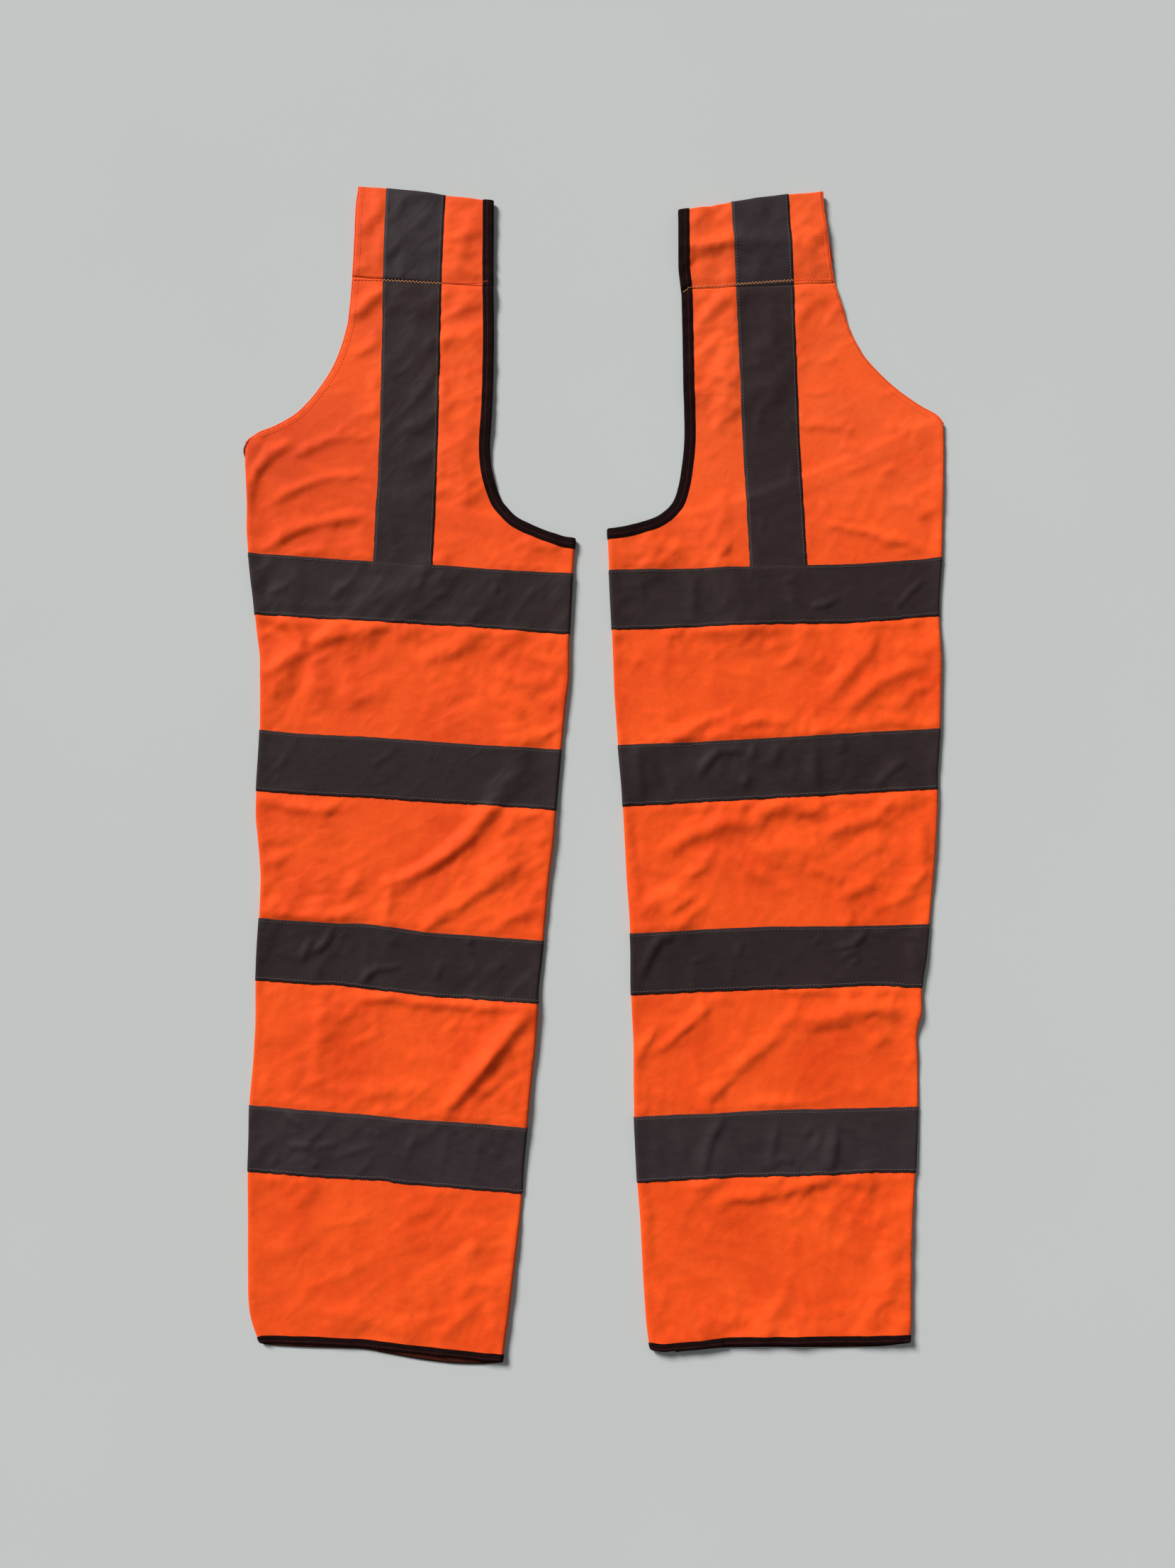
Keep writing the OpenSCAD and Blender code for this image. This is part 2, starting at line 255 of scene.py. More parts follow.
# ---------------------------------------------------------------- what each leg measures
# inner, outer: v,u of the side folds. crotch, hip: u,v points of the strap's curved edges.
# loop_inner, loop_outer: v,u. loop_top, hem: u,v. hem_drop: u and how far the back hangs
# lower. bands: u,v of top and bottom edge, from the top band down. upright: v,u of the
# upright tape's edges. zigzag: u,v along the stitching that closes the loop.
# folds (loose cloth) and creases (tape): the u,v points of a stroke: height width;
LEGS = {
    "left": dict(
        inner="""-20,1.5 0,1 15,.5 30,-.5 60,-1.5 90,-2.5 120,-3 150,-2 180,-2.5 210,-2.5 240,-3.5
            270,-3 285,-1.5 315,-2.5 345,-2.5 375,-2.5 405,-4 435,-3.5 480,-3.5 525,-4 540,-5
            555,-4 570,-2.5 600,-1.5 630,-.5 662,0""",
        outer="""-20,182 -6,189 0,194 15,201.5 30,204.5 60,208 90,211.5 120,215 150,217.5
            180,220.5 210,221 240,222.5 270,226 300,228 330,229 360,231.5 375,234.5 390,237.5
            405,241 435,243.5 480,246 510,249 540,252.5 555,256.5 585,263 615,270 645,276
            675,279 705,284 725,286""",
        crotch="""0,661 12,662.5 30,667.5 50,675.5 60,684 66,691 72.5,705 77,720 79.5,737 80,757
            81,780 83,810 85.5,840 88.3,868 89.2,877""",
        hip="""210.6,877 210.2,855 210.2,840 212,825 215,810 219.5,795 226.5,780 235.5,765
            247,751 262,740 276,732 285.5,722""",
        loop_inner="877,89.2 900,91.5 930,94 957,96.5",
        loop_outer="877,210.6 900,211.5 930,213.2 945,214.3 958,213.6",
        loop_top="90,955.5 130,957 160,958.5 190,960 214,960",
        hem="0,-1 12,-1.5 30,-1.5 60,-1 90,0 110,.5 145,-.5 160,-1.5 185,-3 200,-3.5",
        hem_drop="0,1.5 14,3.8 40,5.6 70,5 110,2.4 150,3.4 185,2.4 200,.5",
        bands=[
            ("12,631 60,629.5 110,629 185,627.5 260,626.5",
             "12,579 60,578.5 110,577.5 160,576.5 210,575 260,574"),
            ("12,482 60,480.5 110,480 160,479.5 210,477.5 245,478",
             "12,431.5 60,431 110,429.5 145,429.5 185,428 230,427"),
            ("12,325 60,324.5 90,324 122,326 145,327 160,325.5 185,325 210,324.5",
             "12,274.5 60,273.5 90,273 122,274.5 160,276 185,274.5 210,274.5"),
            ("12,177 60,176.5 90,175.5 122,176.5 160,176 210,176",
             "12,125.5 60,125.5 90,125 110,126.5 145,125 210,124.5")],
        upright=("625,117 700,121 750,124 880,134 960,138",
                 "625,167 700,171 750,174 880,184.5 960,190"),
        zigzag="93.5,882.5 99,881 113,879 135,877.3 185,876 210.4,874.5",
        folds=[
            # ankle panel
            """20,47 36,27 52,6: 1.1 5; 66,10 100,17 140,26 198,24: 1.6 11;
            178,114 184,82 186,52: -1.2 8; 100,96 122,112: .8 7; 60,110 80,104 96,84: .7 7;
            206,70 196,46: .9 6""",
            # shin panel
            """-2,268 10,259 30,230 48,204 68,178: 4.8 6.2; 12,224 32,203 50,184: 2.4 5;
            24,240 38,217: 1.6 3.6; 12,270 45,268 80,268 112,266: 2.1 4.2;
            98,271 132,267 150,258: 1.6 4.5; 181,272 180,225 184,182: -1.2 7;
            84,199 120,194 150,184: 1.3 7; 134,200 150,193 163,196: 1.2 4;
            120,245 132,225 134,200: .8 7; 200,228 214,234: 1 6; 8,216 10,192: 1.1 4;
            196,214 206,190: .9 5""",
            # knee panel
            """22,478 34,452 50,427 68,402 90,381 114,367 136,360: 4.6 7.6;
            22,386 48,364 74,344 100,328: 3.6 8; 2,356 24,341 48,327: 2.1 6;
            4,428 22,424 38,410: 1.7 4.2; 24,430 34,421: 1.2 3;
            168,426 184,417 212,416 240,420: 2.7 4.4; 140,392 152,366 163,344: 2.2 6;
            123,360 125,345 127,327: 1.3 2.6; 186,378 191,350 194,328: -1.1 7;
            212,374 234,368: 1.3 4; 84,411 112,408 132,404: 1.6 6;
            134,394 160,402 176,398: -1 4; 150,334 188,329 224,331: 1.2 5""",
            # thigh panel, lower
            """180,497 152,517 117,543 68,568: 2.0 9; 60,546 30,531 0,515: 1.6 6;
            36,559 12,554 -2,551: 1.5 5; 10,566 26,570: 1.2 5;
            126,518 97,541 72,530 30,509: 1.8 7.5; 234,573 224,562 215,551: 2.2 3.4;
            203,556 186,562 166,567: 1.7 5; 4,536 30,536 56,541: 1.4 7;
            58,496 110,499 150,491 178,481: 2 6; 212,548 232,535 253,521: 2.2 4.6;
            212,549 198,562 182,576: 2.1 4.6; 260,570 240,561 222,552: -2.9 3.6;
            214,545 216,520 219,490: -1.8 6; 148,573 178,565 206,553: 2 6;
            190,519 202,517 209,523: 1 3; 226,530 240,505 243,484: 1.2 7;
            6,494 30,488: 1.1 5; 96,556 128,548 150,556: .9 6""",
            # thigh panel, upper, and strap
            """172,668 205,660 236,647 262,629: 4.2 6.6; 178,702 222,694 258,671: 3.6 6.4;
            180,738 220,728 250,708: 3.0 7; 242,730 264,710 276,688 278,662: 3.6 5.6;
            186,640 214,634 240,628: 1.6 5; 192,779 214,772 234,770: 1.5 6;
            176,760 196,752 214,742: 1.3 6; 183,868 196,852 209,838: 2.8 6;
            180,822 196,812 210,806: 1.4 5; 98,866 112,858 128,842: 1.4 6;
            96,836 114,829 130,824: 1.3 5; 84,700 96,676 108,652: .7 9;
            90,642 108,640 118,632: .9 5; 10,655 28,652 48,656: 1 4;
            226,676 244,668 262,658: 1.3 4.5; 134,850 160,852 184,858: 1.7 7;
            100,886 116,892 130,888: 1.4 4.6; 102,928 118,921 134,917: 1.5 5;
            104,944 120,953 136,952: 1 5; 190,952 196,934 206,916: 1.4 5;
            112,912 124,902: 1 4; 186,884 198,886 208,882: .9 4"""],
        creases=["""
            108,296 124,292 132,292: 1.1 2; 128,292 136,286 140,279: 1.2 2.2;
            168,322 174,307 186,299: 1.3 2.4; 184,312 191,292: 1.1 2.4; 148,312 158,298: .9 2.2;
            52,322 60,318: .7 2; 78,300 82,286: .8 2.6; 44,278 60,326: .7 5;
            136,276 142,326: .7 5; 112,161 126,163: 1.1 1.8; 118,152 130,148 150,140: 1.1 2;
            116,146 122,137 130,129: 1.1 2.2; 146,153 164,147: 1 2; 166,148 186,147: 1 2;
            176,164 192,171: .9 2.2; 160,136 166,134: .8 1.8; 84,168 90,150 92,136: .9 3;
            56,176 62,150 60,128: .8 5; 34,168 38,130: .7 4; 14,156 26,153: .7 2.5;
            193,138 198,130: .7 2.2; 128,478 140,464 156,455: 1.2 3; 100,478 112,462: .8 3;
            128,452 136,448: .8 1.8; 74,480 76,440: .7 4; 212,476 220,462 228,446: 1 4;
            176,470 188,467: .7 2; 88,446 104,440: .8 3; 120,626 130,604: .8 4;
            60,616 64,609: .6 2; 236,600 252,594: .7 3; 22,616 26,604: .5 3;
            100,606 110,602: .5 2.5; 142,752 158,742: .7 3; 160,690 168,682: .6 3"""],
    ),
    "right": dict(
        inner="""-20,6 0,4 6,1.5 14,0 30,-1 60,-1.5 105,-1.5 135,-2.5 180,-2.5 210,-1.5 240,0
            285,0 315,1.5 345,1.8 375,1 405,1 450,.8 480,-.5 525,-1.5 570,-1 615,-1 668,-.5""",
        outer="""-20,200 0,203 15,206 45,208.5 75,211 105,214.5 135,219 165,222.5 195,225.5
            215,226.8 238,227.2 246,229 256,233 270,233.5 285,236 300,240 330,245 360,250
            390,254.5 420,258.5 450,260.5 480,265 510,268 540,271 585,272.5 600,274 630,278.5
            660,281.5 690,284.5 720,287.5 745,289""",
        crotch="""-.5,667.5 12,668.5 28,672 44,678 56,689 62,704 65.5,720 68,735 69.5,750
            70.2,770 70.6,795 72,825 73,855 73.6,877""",
        hip="""205,877 207.5,866 210.5,855 214,840 219.5,825 227,810 238.5,795 252.5,780
            270,765.5 283,756.5 288.7,748""",
        loop_inner="877,73.6 900,72.2 915,73 945,74.6 960,75",
        loop_outer="877,205 900,202.6 915,202 930,200.8 945,200.2 960,199",
        loop_top="74,948.5 100,950.5 120,953.5 145,957 170,959 200,960.5",
        hem="0,9 6,6.2 12,6 30,7 60,8.5 90,8 122,6.5 145,5.5 185,4.5 205,4.5",
        hem_drop="0,.5 14,1.5 40,2.6 90,3.4 145,3.6 185,3.8 202,2.2",
        bands=[
            ("12,632.5 60,631 110,630.5 145,630 185,629 210,628.5 245,629.5 275,631",
             "12,581.5 60,580.5 110,580 145,580 185,578.5 210,578.5 245,579.5 260,580.5"),
            ("12,484.5 60,484 110,484.5 160,485 210,486 260,486",
             "12,433.5 60,434 110,434 160,434.5 210,435.5 245,435.5"),
            ("12,330 60,330.5 110,330.5 145,329 185,327.5 230,326.5",
             "12,280.5 60,280.5 110,280 160,279 185,279.5 210,278.5 230,276"),
            ("12,185 60,184.5 90,185 122,185 145,184 185,183 210,182.5",
             "12,133.5 60,134.5 110,133.5 145,133 185,133 210,131.5")],
        upright=("625,117 755,118 880,120 960,120",
                 "625,165 700,165.7 755,166.5 880,170 960,170"),
        zigzag="74,874.5 78,877 84,878.8 120,879.5 170,881 204,880",
        folds=[
            # ankle panel
            """2,62 26,34 62,15: 1.7 7; 92,18 118,60 150,106 160,122: 1.5 6;
            120,28 148,62 170,100: 1.4 7; 58,118 106,120 150,130: 2.5 5; 160,127 190,122: 1.5 4;
            4,128 5,92 6,58: 1.6 4.5; 196,112 193,70 190,30: 2.2 16; 60,82 84,80 104,76: 1 6;
            36,66 60,72 90,68: .9 6; 96,106 120,98: 1 6; 104,62 118,60: .9 5;
            166,108 186,104: 1 3.4; 44,54 66,58: .7 6""",
            # shin panel
            """46,186 75,212 100,232 124,243: 2.7 8; -1,222 10,242 22,260: 2.6 4;
            12,232 35,248 66,270: 2.7 4.6; 20,268 40,270 62,262: 1.3 4; 66,278 84,266: 1.5 6;
            114,254 150,255 190,262 226,256: 2.2 6.5; 114,279 140,278 164,277: 2 3.6;
            76,193 130,190 182,197 218,190: 2 6; 134,245 156,249 176,252: 1.3 4;
            178,252 196,259 214,251: 1.4 4; 190,236 206,222 222,214: 1.4 8;
            106,214 140,216 170,212: 1.2 7; 44,240 50,216: 1.1 5; 2,206 26,196 42,194: 1.6 5;
            234,268 228,246: 2 5; 122,240 128,236 134,240: 1.1 2.2""",
            # knee panel
            """22,392 55,407 88,415 118,414: 2.1 9; 10,352 42,382 72,406: -2.0 7;
            84,402 109,383 139,362 158,356: -2.4 6; 30,352 54,374 76,395: 1.5 6;
            104,421 135,425 168,418: 2.6 6.6; 163,402 190,410 218,415: 1.4 6;
            30,342 58,361: 1.7 3.4; 38,333 73,356: 2.1 4.2; 198,337 216,345 238,352: 2 5.4;
            148,376 164,371 176,362: 1.8 6; 112,392 140,394 162,384: 1.6 7;
            4,430 6,390 8,348: 1.8 5; 244,412 243,380 238,350: 2.4 10;
            168,352 190,356 206,364: 1.5 5; 84,336 120,340 156,334: 1.5 5;
            180,374 196,388 216,392: 1.1 6; 150,420 166,430: 1.3 4;
            196,428 226,424 252,428: 1.3 5""",
            # thigh panel, lower
            """108,553 150,566: 1.7 5; 166,508 195,535 220,568: 1.8 8.5;
            188,498 214,524 242,536 264,540: 2.1 7; 40,483 70,500 102,511: 2.5 6;
            72,487 108,499 150,497: 2.5 6.6; 148,526 164,514 180,496: -1.7 5;
            66,576 98,577 130,580: 1.2 4; 190,576 224,576 262,578: 1.5 5;
            234,556 256,550 268,556: 1.3 6; 46,576 44,556 40,540: .9 4;
            6,566 22,550 44,530: 1.1 7; 66,556 90,552 116,560: .9 6; 150,576 166,570: 1.2 4;
            226,502 240,512 254,526: 1.5 7; 112,538 140,545 156,558: 1.1 5;
            196,490 220,496 250,492: 1.2 5; 70,528 100,532: .8 7; 246,574 254,580: 1.1 2.6""",
            # thigh panel, upper, and strap
            """170,668 214,656 264,638: 3.2 6; 178,702 198,707 224,715: 2.4 4;
            168,751 192,749 218,745: 2.4 5; 200,730 214,728 226,718: 2.0 5;
            176,780 190,780 202,787: 2.1 4; 170,812 186,806 202,804: 1.2 5;
            196,806 214,818: 1.3 5; 226,690 236,704 250,712: 2.0 4.6;
            232,672 252,678 268,664: 2.2 6; 262,740 270,722 270,704: 1.8 6;
            240,748 262,742: 1.9 6; 174,688 192,682 214,686: 1.6 5;
            214,640 240,644 272,640: 1.3 5; 172,640 188,636 206,630: 1.2 4;
            84,727 98,733 114,741: 1.6 4; 92,750 104,750 116,744: 1.3 4;
            82,690 96,692 108,684: 1 6; 70,668 84,656 104,640: 1.1 8;
            26,655 46,650 66,640: 1 6; 36,640 42,655: .7 5; 90,793 102,797 112,790: 1 4;
            86,846 100,858 116,870: 1.6 5; 86,870 98,868: .9 4; 172,870 184,872 198,860: 1.2 5;
            172,846 184,858 196,866: 1.1 4; 122,776 140,784 162,793: 1.6 8;
            120,748 140,751 164,756: 1.5 7; 236,782 252,772 266,760: 1.4 5;
            206,770 220,760: 1 6; 84,822 100,824: .8 5;
            72,913 100,914 120,916 145,917 168,915 184,905 190,896: 3.3 5;
            84,930 96,944 100,950: .9 6; 176,926 188,918 197,914: 1.2 4; 174,944 190,936: .9 5;
            172,900 186,892 198,894: 1 4; 86,896 98,890: .9 5"""],
        creases=["""
            166,593 178,595 192,601: 1.3 2.2; 236,588 250,602 264,614: 1.4 2.6;
            196,600 202,608: .7 2.2; 248,612 256,630: 1 4; 144,617 156,618: .7 2;
            70,626 66,584: .7 5; 24,624 28,606: .7 3.5; 14,482 16,436: 1.2 6;
            34,482 38,438: -1 5; 62,452 72,466 84,475 104,474: 1.2 3.4; 112,480 108,468: .9 3;
            132,480 126,462: .8 4; 162,478 158,440: .8 5; 208,440 222,452 236,462: 1.1 4;
            100,446 106,454: .7 3; 182,480 186,470: .6 4; 8,294 18,314 30,330: 1.5 4;
            28,322 36,328: 1 3; 50,305 62,307: .9 2; 82,304 88,310 92,322: 1.3 3;
            80,284 84,304: 1 3.6; 148,312 156,320: 1.1 2.4;
            158,311 172,311 184,314 196,326: 1.4 2.6; 170,304 186,307: 1 2;
            178,298 188,302: 1 2.2; 196,322 212,318: .9 2.6; 226,318 238,314: .9 2;
            116,318 120,290: .7 5; 134,304 142,312: .6 2.6; 226,312 234,290: .8 3.6;
            48,300 54,284: .6 4; 48,134 56,160 68,183: 1.3 4; 100,138 108,160 114,184: .9 3.6;
            150,136 156,160 160,180: 1.4 4.4; 160,168 174,167: 1 2.4; 130,164 138,167: .9 2;
            102,140 112,146 122,144: .9 2.4; 138,150 146,166: .8 3; 178,162 190,158: .9 2.4;
            192,176 206,166: .6 5; 30,176 38,150: .7 4.6; 12,176 18,140: .6 5;
            158,722 156,700: .8 4; 124,806 138,806: .6 4; 150,746 162,752: .6 3"""],
    ),
}


# ---------------------------------------------------------------- a leg's surface
class Leg:
    # the height maps: first u and v, and their size at one point per mm
    U0, V0, COLS, ROWS = -14, -24, 330, 1010

    def __init__(self, side):
        table = LEGS[side]
        self.side, self.table = side, table
        # the way folds turn their steeper flank
        self.light = np.array([0.66, 0.75]) if side == "left" else np.array([-0.66, 0.75])
        self.seed = 11 if side == "left" else 47
        self.inner, self.outer = (smooth_line(table[key], 4) for key in ("inner", "outer"))
        self.hem_front = smooth_line(table["hem"], 5)
        self.hem_drop = smooth_line(table["hem_drop"], 6)
        self.loop_inner = smooth_line(table["loop_inner"], 3)
        self.loop_outer = smooth_line(table["loop_outer"], 3)
        self.loop_top = smooth_line(table["loop_top"], 4)
        self.bands = [[smooth_line(edge, 5) for edge in band] for band in table["bands"]]
        self.tape_inner, self.tape_outer = (smooth_line(edge, 8) for edge in table["upright"])
        self.zigzag = pairs(table["zigzag"])
        self.crotch = catmull(pairs(table["crotch"]), 2.6)
        self.hip = catmull(pairs(table["hip"]), 2.6)
        self.crotch_v = self.crotch[0, 1]
        self.hip_v = self.hip[-1, 1]
        # the back ply's top edge, between the two corners
        start = np.array([self.inner(self.crotch_v), self.crotch_v])
        end = np.array([self.outer(self.hip_v), self.hip_v])
        self.back = catmull([start, start + [36, 5], start + [90, 12],
                             (start * .45 + end * .55) - [0, 12],
                             end - [60, 22], end - [22, 7], end], 3.2)
        self.seam_top_u = self.seam_u(BACK_TOP_V)
        self.seam_top_v = self.back_v(self.seam_top_u)

        u, v = np.meshgrid(self.U0 + np.arange(self.COLS), self.V0 + np.arange(self.ROWS))
        self.u_map, self.v_map = u.astype(float), v.astype(float)
        self.along, self.across = turned(self.u_map, self.v_map,
                                         math.radians(38 if side == "right" else -38))
        self.warp = [fbm(self.along / 60, self.across / 60, self.seed + k, 2) * 16
                     for k in (5, 9)]
        self.folds = self.strokes("folds", 1)
        self.creases = self.strokes("creases", 1.5)
        self.settled = None
        self.make_heights()

    def back_v(self, u):
        return np.interp(u, self.back[:, 0], self.back[:, 1])

    def front_outline(self):
        """The front ply's edge, hem to loop top."""
        def edge(fn, start, end):
            v = np.arange(start, end, 5.0)
            return np.stack([fn(v), v], -1)
        return np.vstack([
            edge(self.outer, 0, self.hip_v), self.hip[::-1],
            edge(self.loop_outer, SEAM_V + 5, 953),
            edge(self.loop_inner, SEAM_V + 5, 953)[::-1],
            self.crotch[::-1], edge(self.inner, 0, self.crotch_v)[::-1]])

    # --- height maps
    def strokes(self, key, scale):
        """The height map of a table of folds."""
        heights = np.zeros_like(self.u_map)
        for text in self.table[key]:
            for entry in text.split(";"):
                path, size = entry.split(":")
                height, width = map(float, size.split())
                self.stroke(heights, pairs(path), height * scale, width)
        return heights

    def stroke(self, heights, points, amp, width):
        """Adds one fold along the points, steeper on the flank away from the light."""
        steep = 0.62      # width of the steep flank over the other
        path = catmull(points, 3.0) if len(points) > 2 else resample(points, 3.0)
        margin = 3.2 * width + 2
        j0 = int(max(0, path[:, 0].min() - margin - self.U0))
        j1 = int(min(self.COLS, path[:, 0].max() + margin - self.U0))
        i0 = int(max(0, path[:, 1].min() - margin - self.V0))
        i1 = int(min(self.ROWS, path[:, 1].max() + margin - self.V0))
        if j1 <= j0 or i1 <= i0:
            return
        u, v = self.u_map[i0:i1, j0:j1], self.v_map[i0:i1, j0:j1]
        nearest, flank, along = np.full(u.shape, 1e9), np.zeros(u.shape), np.zeros(u.shape)
        count = len(path) - 1
        for i in range(count):
            a = path[i]
            edge = path[i + 1] - a
            t = np.clip(((u - a[0]) * edge[0] + (v - a[1]) * edge[1]) / (edge @ edge), 0, 1)
            du, dv = u - a[0] - t * edge[0], v - a[1] - t * edge[1]
            square = du * du + dv * dv
            hit = square < nearest
            left = np.array([-edge[1], edge[0]])
            bright = 1.0 if left @ self.light > 0 else -1.0
            nearest = np.where(hit, square, nearest)
            flank = np.where(hit, np.sign(du * left[0] + dv * left[1]) * bright, flank)
            along = np.where(hit, (i + t) / count, along)
        dist = np.sqrt(nearest)
        skew = (1 + steep) / 2 + (1 - steep) / 2 * np.tanh(flank * dist / 1.2)
        reach = (np.sqrt(dist * dist + 0.8) - math.sqrt(0.8)) / (width * skew * 1.05)
        taper = np.clip(1 - np.abs(2 * along - 1) ** 3.2, 0, 1) ** 0.7
        heights[i0:i1, j0:j1] += amp * taper * np.exp(-reach ** 1.6)

    def crossing(self, angle, length, width, seed):
        """Sharp creases longer one way than the other, at an angle to the leg."""
        p, q = turned(self.u_map, self.v_map, -angle)
        return ridged((p + self.warp[0] * .35) / length, (q + self.warp[1] * .35) / width,
                      self.seed + seed, 3) - .7

    def cloth_wrinkles(self):
        """The loose cloth: each term is a height times noise of some mm across."""
        u, v, seed = self.u_map, self.v_map, self.seed
        x, y, (wx, wy) = self.along, self.across, self.warp
        if self.settled is None:
            out = self.folds.copy()
        else:
            out = 0.45 * self.folds + 0.7 * self.settled
        out += 0.8 * (crests((x + wx) / 74, (y + wy) / 24, seed, 3) - .6)
        out += 0.42 * (crests((x - wy) / 30, (y + wx) / 15, seed + 20, 2) - .6)
        out += 0.7 * fbm(u / 46, v / 38, seed + 31, 2)
        small = crests((x + wy * .6) / 15, (y + wx * .6) / 7.5, seed + 25, 2)
        cross = crests((x * .3 + y + wx) / 16, (y * .3 - x + wy) / 9, seed + 28, 2)
        patchy = smoothstep(-.5, .6, fbm(u / 55, v / 50, seed + 33, 2))
        out += (0.34 * (small - .6) + 0.30 * (cross - .6)) * (.4 + patchy)
        out += 0.08 * fbm(u / 4.2, v / 4.2, seed + 40, 2) + 2.9 * fbm(u / 110, v / 66, seed + 36, 1)
        out += 0.62 * self.crossing(0.62, 31, 15.6, 150)
        out += 0.45 * self.crossing(-0.85, 22.7, 13.5, 160)
        if self.side == "left":      # this ankle lies smoother
            out *= 1 - 0.35 * smoothstep(118, 96, v) * smoothstep(50, 110, u)
        return out

    def tape_mask(self):
        """Where the tapes lie, and how the cloth puckers along their sewn edges."""
        u, v = self.u_map, self.v_map
        tape, lip = np.zeros_like(u), np.zeros_like(u)
        gather = np.abs(fbm(u / 7, v / 40, self.seed + 60, 2))
        for top_line, bottom_line in self.bands:
            top, bottom = top_line(u), bottom_line(u)
            tape = np.maximum(tape, between(v, bottom, top, 1.5, 2.5))
            lip += 0.75 * bell(v - top - 4, 3.2) * (v > top - 3)
            lip += 0.65 * bell(v - bottom + 4.5, 3.6) * (v < bottom + 3)
            lip += 0.5 * gather * (bell(v - top - 3, 5) + bell(v - bottom + 4, 6))
        inner, outer = self.tape_inner(v), self.tape_outer(v)
        upright = between(u, inner, outer, 1.5, 2.5) * smoothstep(622, 632, v)
        lip += 0.3 * (bell(u - inner + 4, 3) + bell(u - outer - 4, 3)) * smoothstep(630, 640, v)
        return np.maximum(tape, upright), lip

    def tape_creases(self):
        u, v, seed = self.u_map, self.v_map, self.seed
        fine = crests((self.along + self.warp[0]) / 34, (self.across + self.warp[1]) / 17,
                      seed + 75, 2)
        return (self.creases + 0.75 * self.crossing(0.9, 45, 21.7, 170)
                + 0.16 * fbm(u / 11, v / 9, seed + 70, 2) + 0.45 * (fine - .6)
                + 0.5 * fbm(u / 30, v / 60, seed + 77, 1))

    def make_heights(self):
        """Maps the mid-surface heights of both plies."""
        u, v = self.u_map, self.v_map
        # tape is stiffer than cloth: it takes a softened share of the folds under it
        relief = self.cloth_wrinkles()
        tape, lip = self.tape_mask()
        soft = blur(relief, 4.2) * 0.72
        relief = (relief * (1 - tape) + (soft + self.tape_creases()) * tape
                  + lip * (1 - tape) * 0.8)
        # the seam that closes the loop, drawn down a little
        seam_v = np.interp(u, self.zigzag[:, 0], self.zigzag[:, 1])
        relief *= 1 - 0.55 * bell(v - seam_v, 7) * (v > 850)
        relief += (0.5 * bell(v - seam_v - 6, 4) - 0.35 * bell(v - seam_v, 1.8)) * (v > 850)
        # wrinkles flatten out towards the edges that are bound or folded
        to_fold = np.minimum(u - self.inner(v), self.outer(v) - u)
        relief *= 0.6 + 0.4 * smoothstep(0, 14, to_fold)
        self.back_map = blur(self.back_heights(), 1.2)
        base, least = self.base_heights(self.back_map - BACK_MID)
        # a soft maximum keeps the front ply clear of what lies under it
        softness = 0.45
        excess = (base + relief - least) / softness
        self.front_map = blur(least + softness * np.logaddexp(0, excess), 0.8)

    def base_heights(self, ruck):
        """The front ply without wrinkles, and the least height it may have."""
        u, v = self.u_map, self.v_map
        far = 1e3
        to_fold = np.minimum(
            np.where(v < self.crotch_v + 5, np.abs(u - self.inner(v)), far),
            np.where(v < self.hip_v + 5, np.abs(u - self.outer(v)), far))
        back_v = self.back_v(u)
        tube = (BACK_MID + 1.5 + (2 * ROLL - 1.5) * bell(to_fold, 9) + 0.8 * bell(v + 2, 10))
        strap = STRAP_MID + 0.25 * fbm(u / 60, v / 60, self.seed + 80, 1)
        base = blend_to(tube, strap, smoothstep(back_v - 4, back_v + 34, v))
        base = np.maximum(base, np.where(v < back_v + 6, BACK_MID + 1.25, 0))
        # over the trimmed top edge of the back ply
        hemmed = smoothstep(back_v - 15, back_v - 9, v) * smoothstep(back_v + 8, back_v + 2, v)
        base = blend_to(base, np.maximum(base, BACK_MID + 1.75), hemmed)
        base = blend_to(base, BACK_MID + 0.95, smoothstep(SEAM_V - 26, SEAM_V - 4, v))
        loop = BACK_MID + 0.95 + 2.2 * smoothstep(SEAM_V, SEAM_V + 42, v)
        base = blend_to(base, loop, smoothstep(SEAM_V, SEAM_V + 4, v))
        least = np.where(v < back_v + 4, BACK_MID + 0.95, 0.72)
        least = np.where(v > SEAM_V - 14, BACK_MID + 0.75, least)
        least = blur(least, 5) + ruck
        least = blend_to(least, np.maximum(least, BACK_MID + 1.42), hemmed)
        return base + ruck * 0.6, least

    def back_heights(self):
        """The back ply: flat on the floor, rucked up a little between the bands."""
        u, v = self.u_map, self.v_map
        seed = 90 if self.side == "left" else 130
        x, y = u * .8 - v * .6, u * .6 + v * .8
        warp = 14 * fbm(u / 50, v / 50, seed + 3, 2)
        long = crests((x + warp) / 80, (y + warp) / 26, seed, 3)
        short = crests((y - warp) / 60, (x + warp) / 24, seed + 7, 2)
        lift = (np.clip(1.9 * (long - .62), 0, 1) + np.clip(1.5 * (short - .68), 0, .7)
                + 0.12 * fbm(u / 14, v / 11, seed + 12, 2))
        # held down near bands, seam, folds, hem and top edge
        held = [0.8 * between(v, bottom(u), top(u), 9, -1) for top, bottom in self.bands]
        held += [smoothstep(16, 6, np.abs(u - self.seam_u(v))) * .8,
                 smoothstep(12, 3, np.minimum(u - self.inner(v), self.outer(v) - u)),
                 smoothstep(14, 4, v), smoothstep(28, 10, self.back_v(u) - v)]
        return BACK_MID + np.clip(lift, 0, 1.15) * (1 - np.maximum.reduce(held))

    def sample(self, height_map, u, v):
        x = np.clip(np.asarray(u, float) - self.U0, 0, self.COLS - 1.001)
        y = np.clip(np.asarray(v, float) - self.V0, 0, self.ROWS - 1.001)
        return bilinear(height_map, x, y)

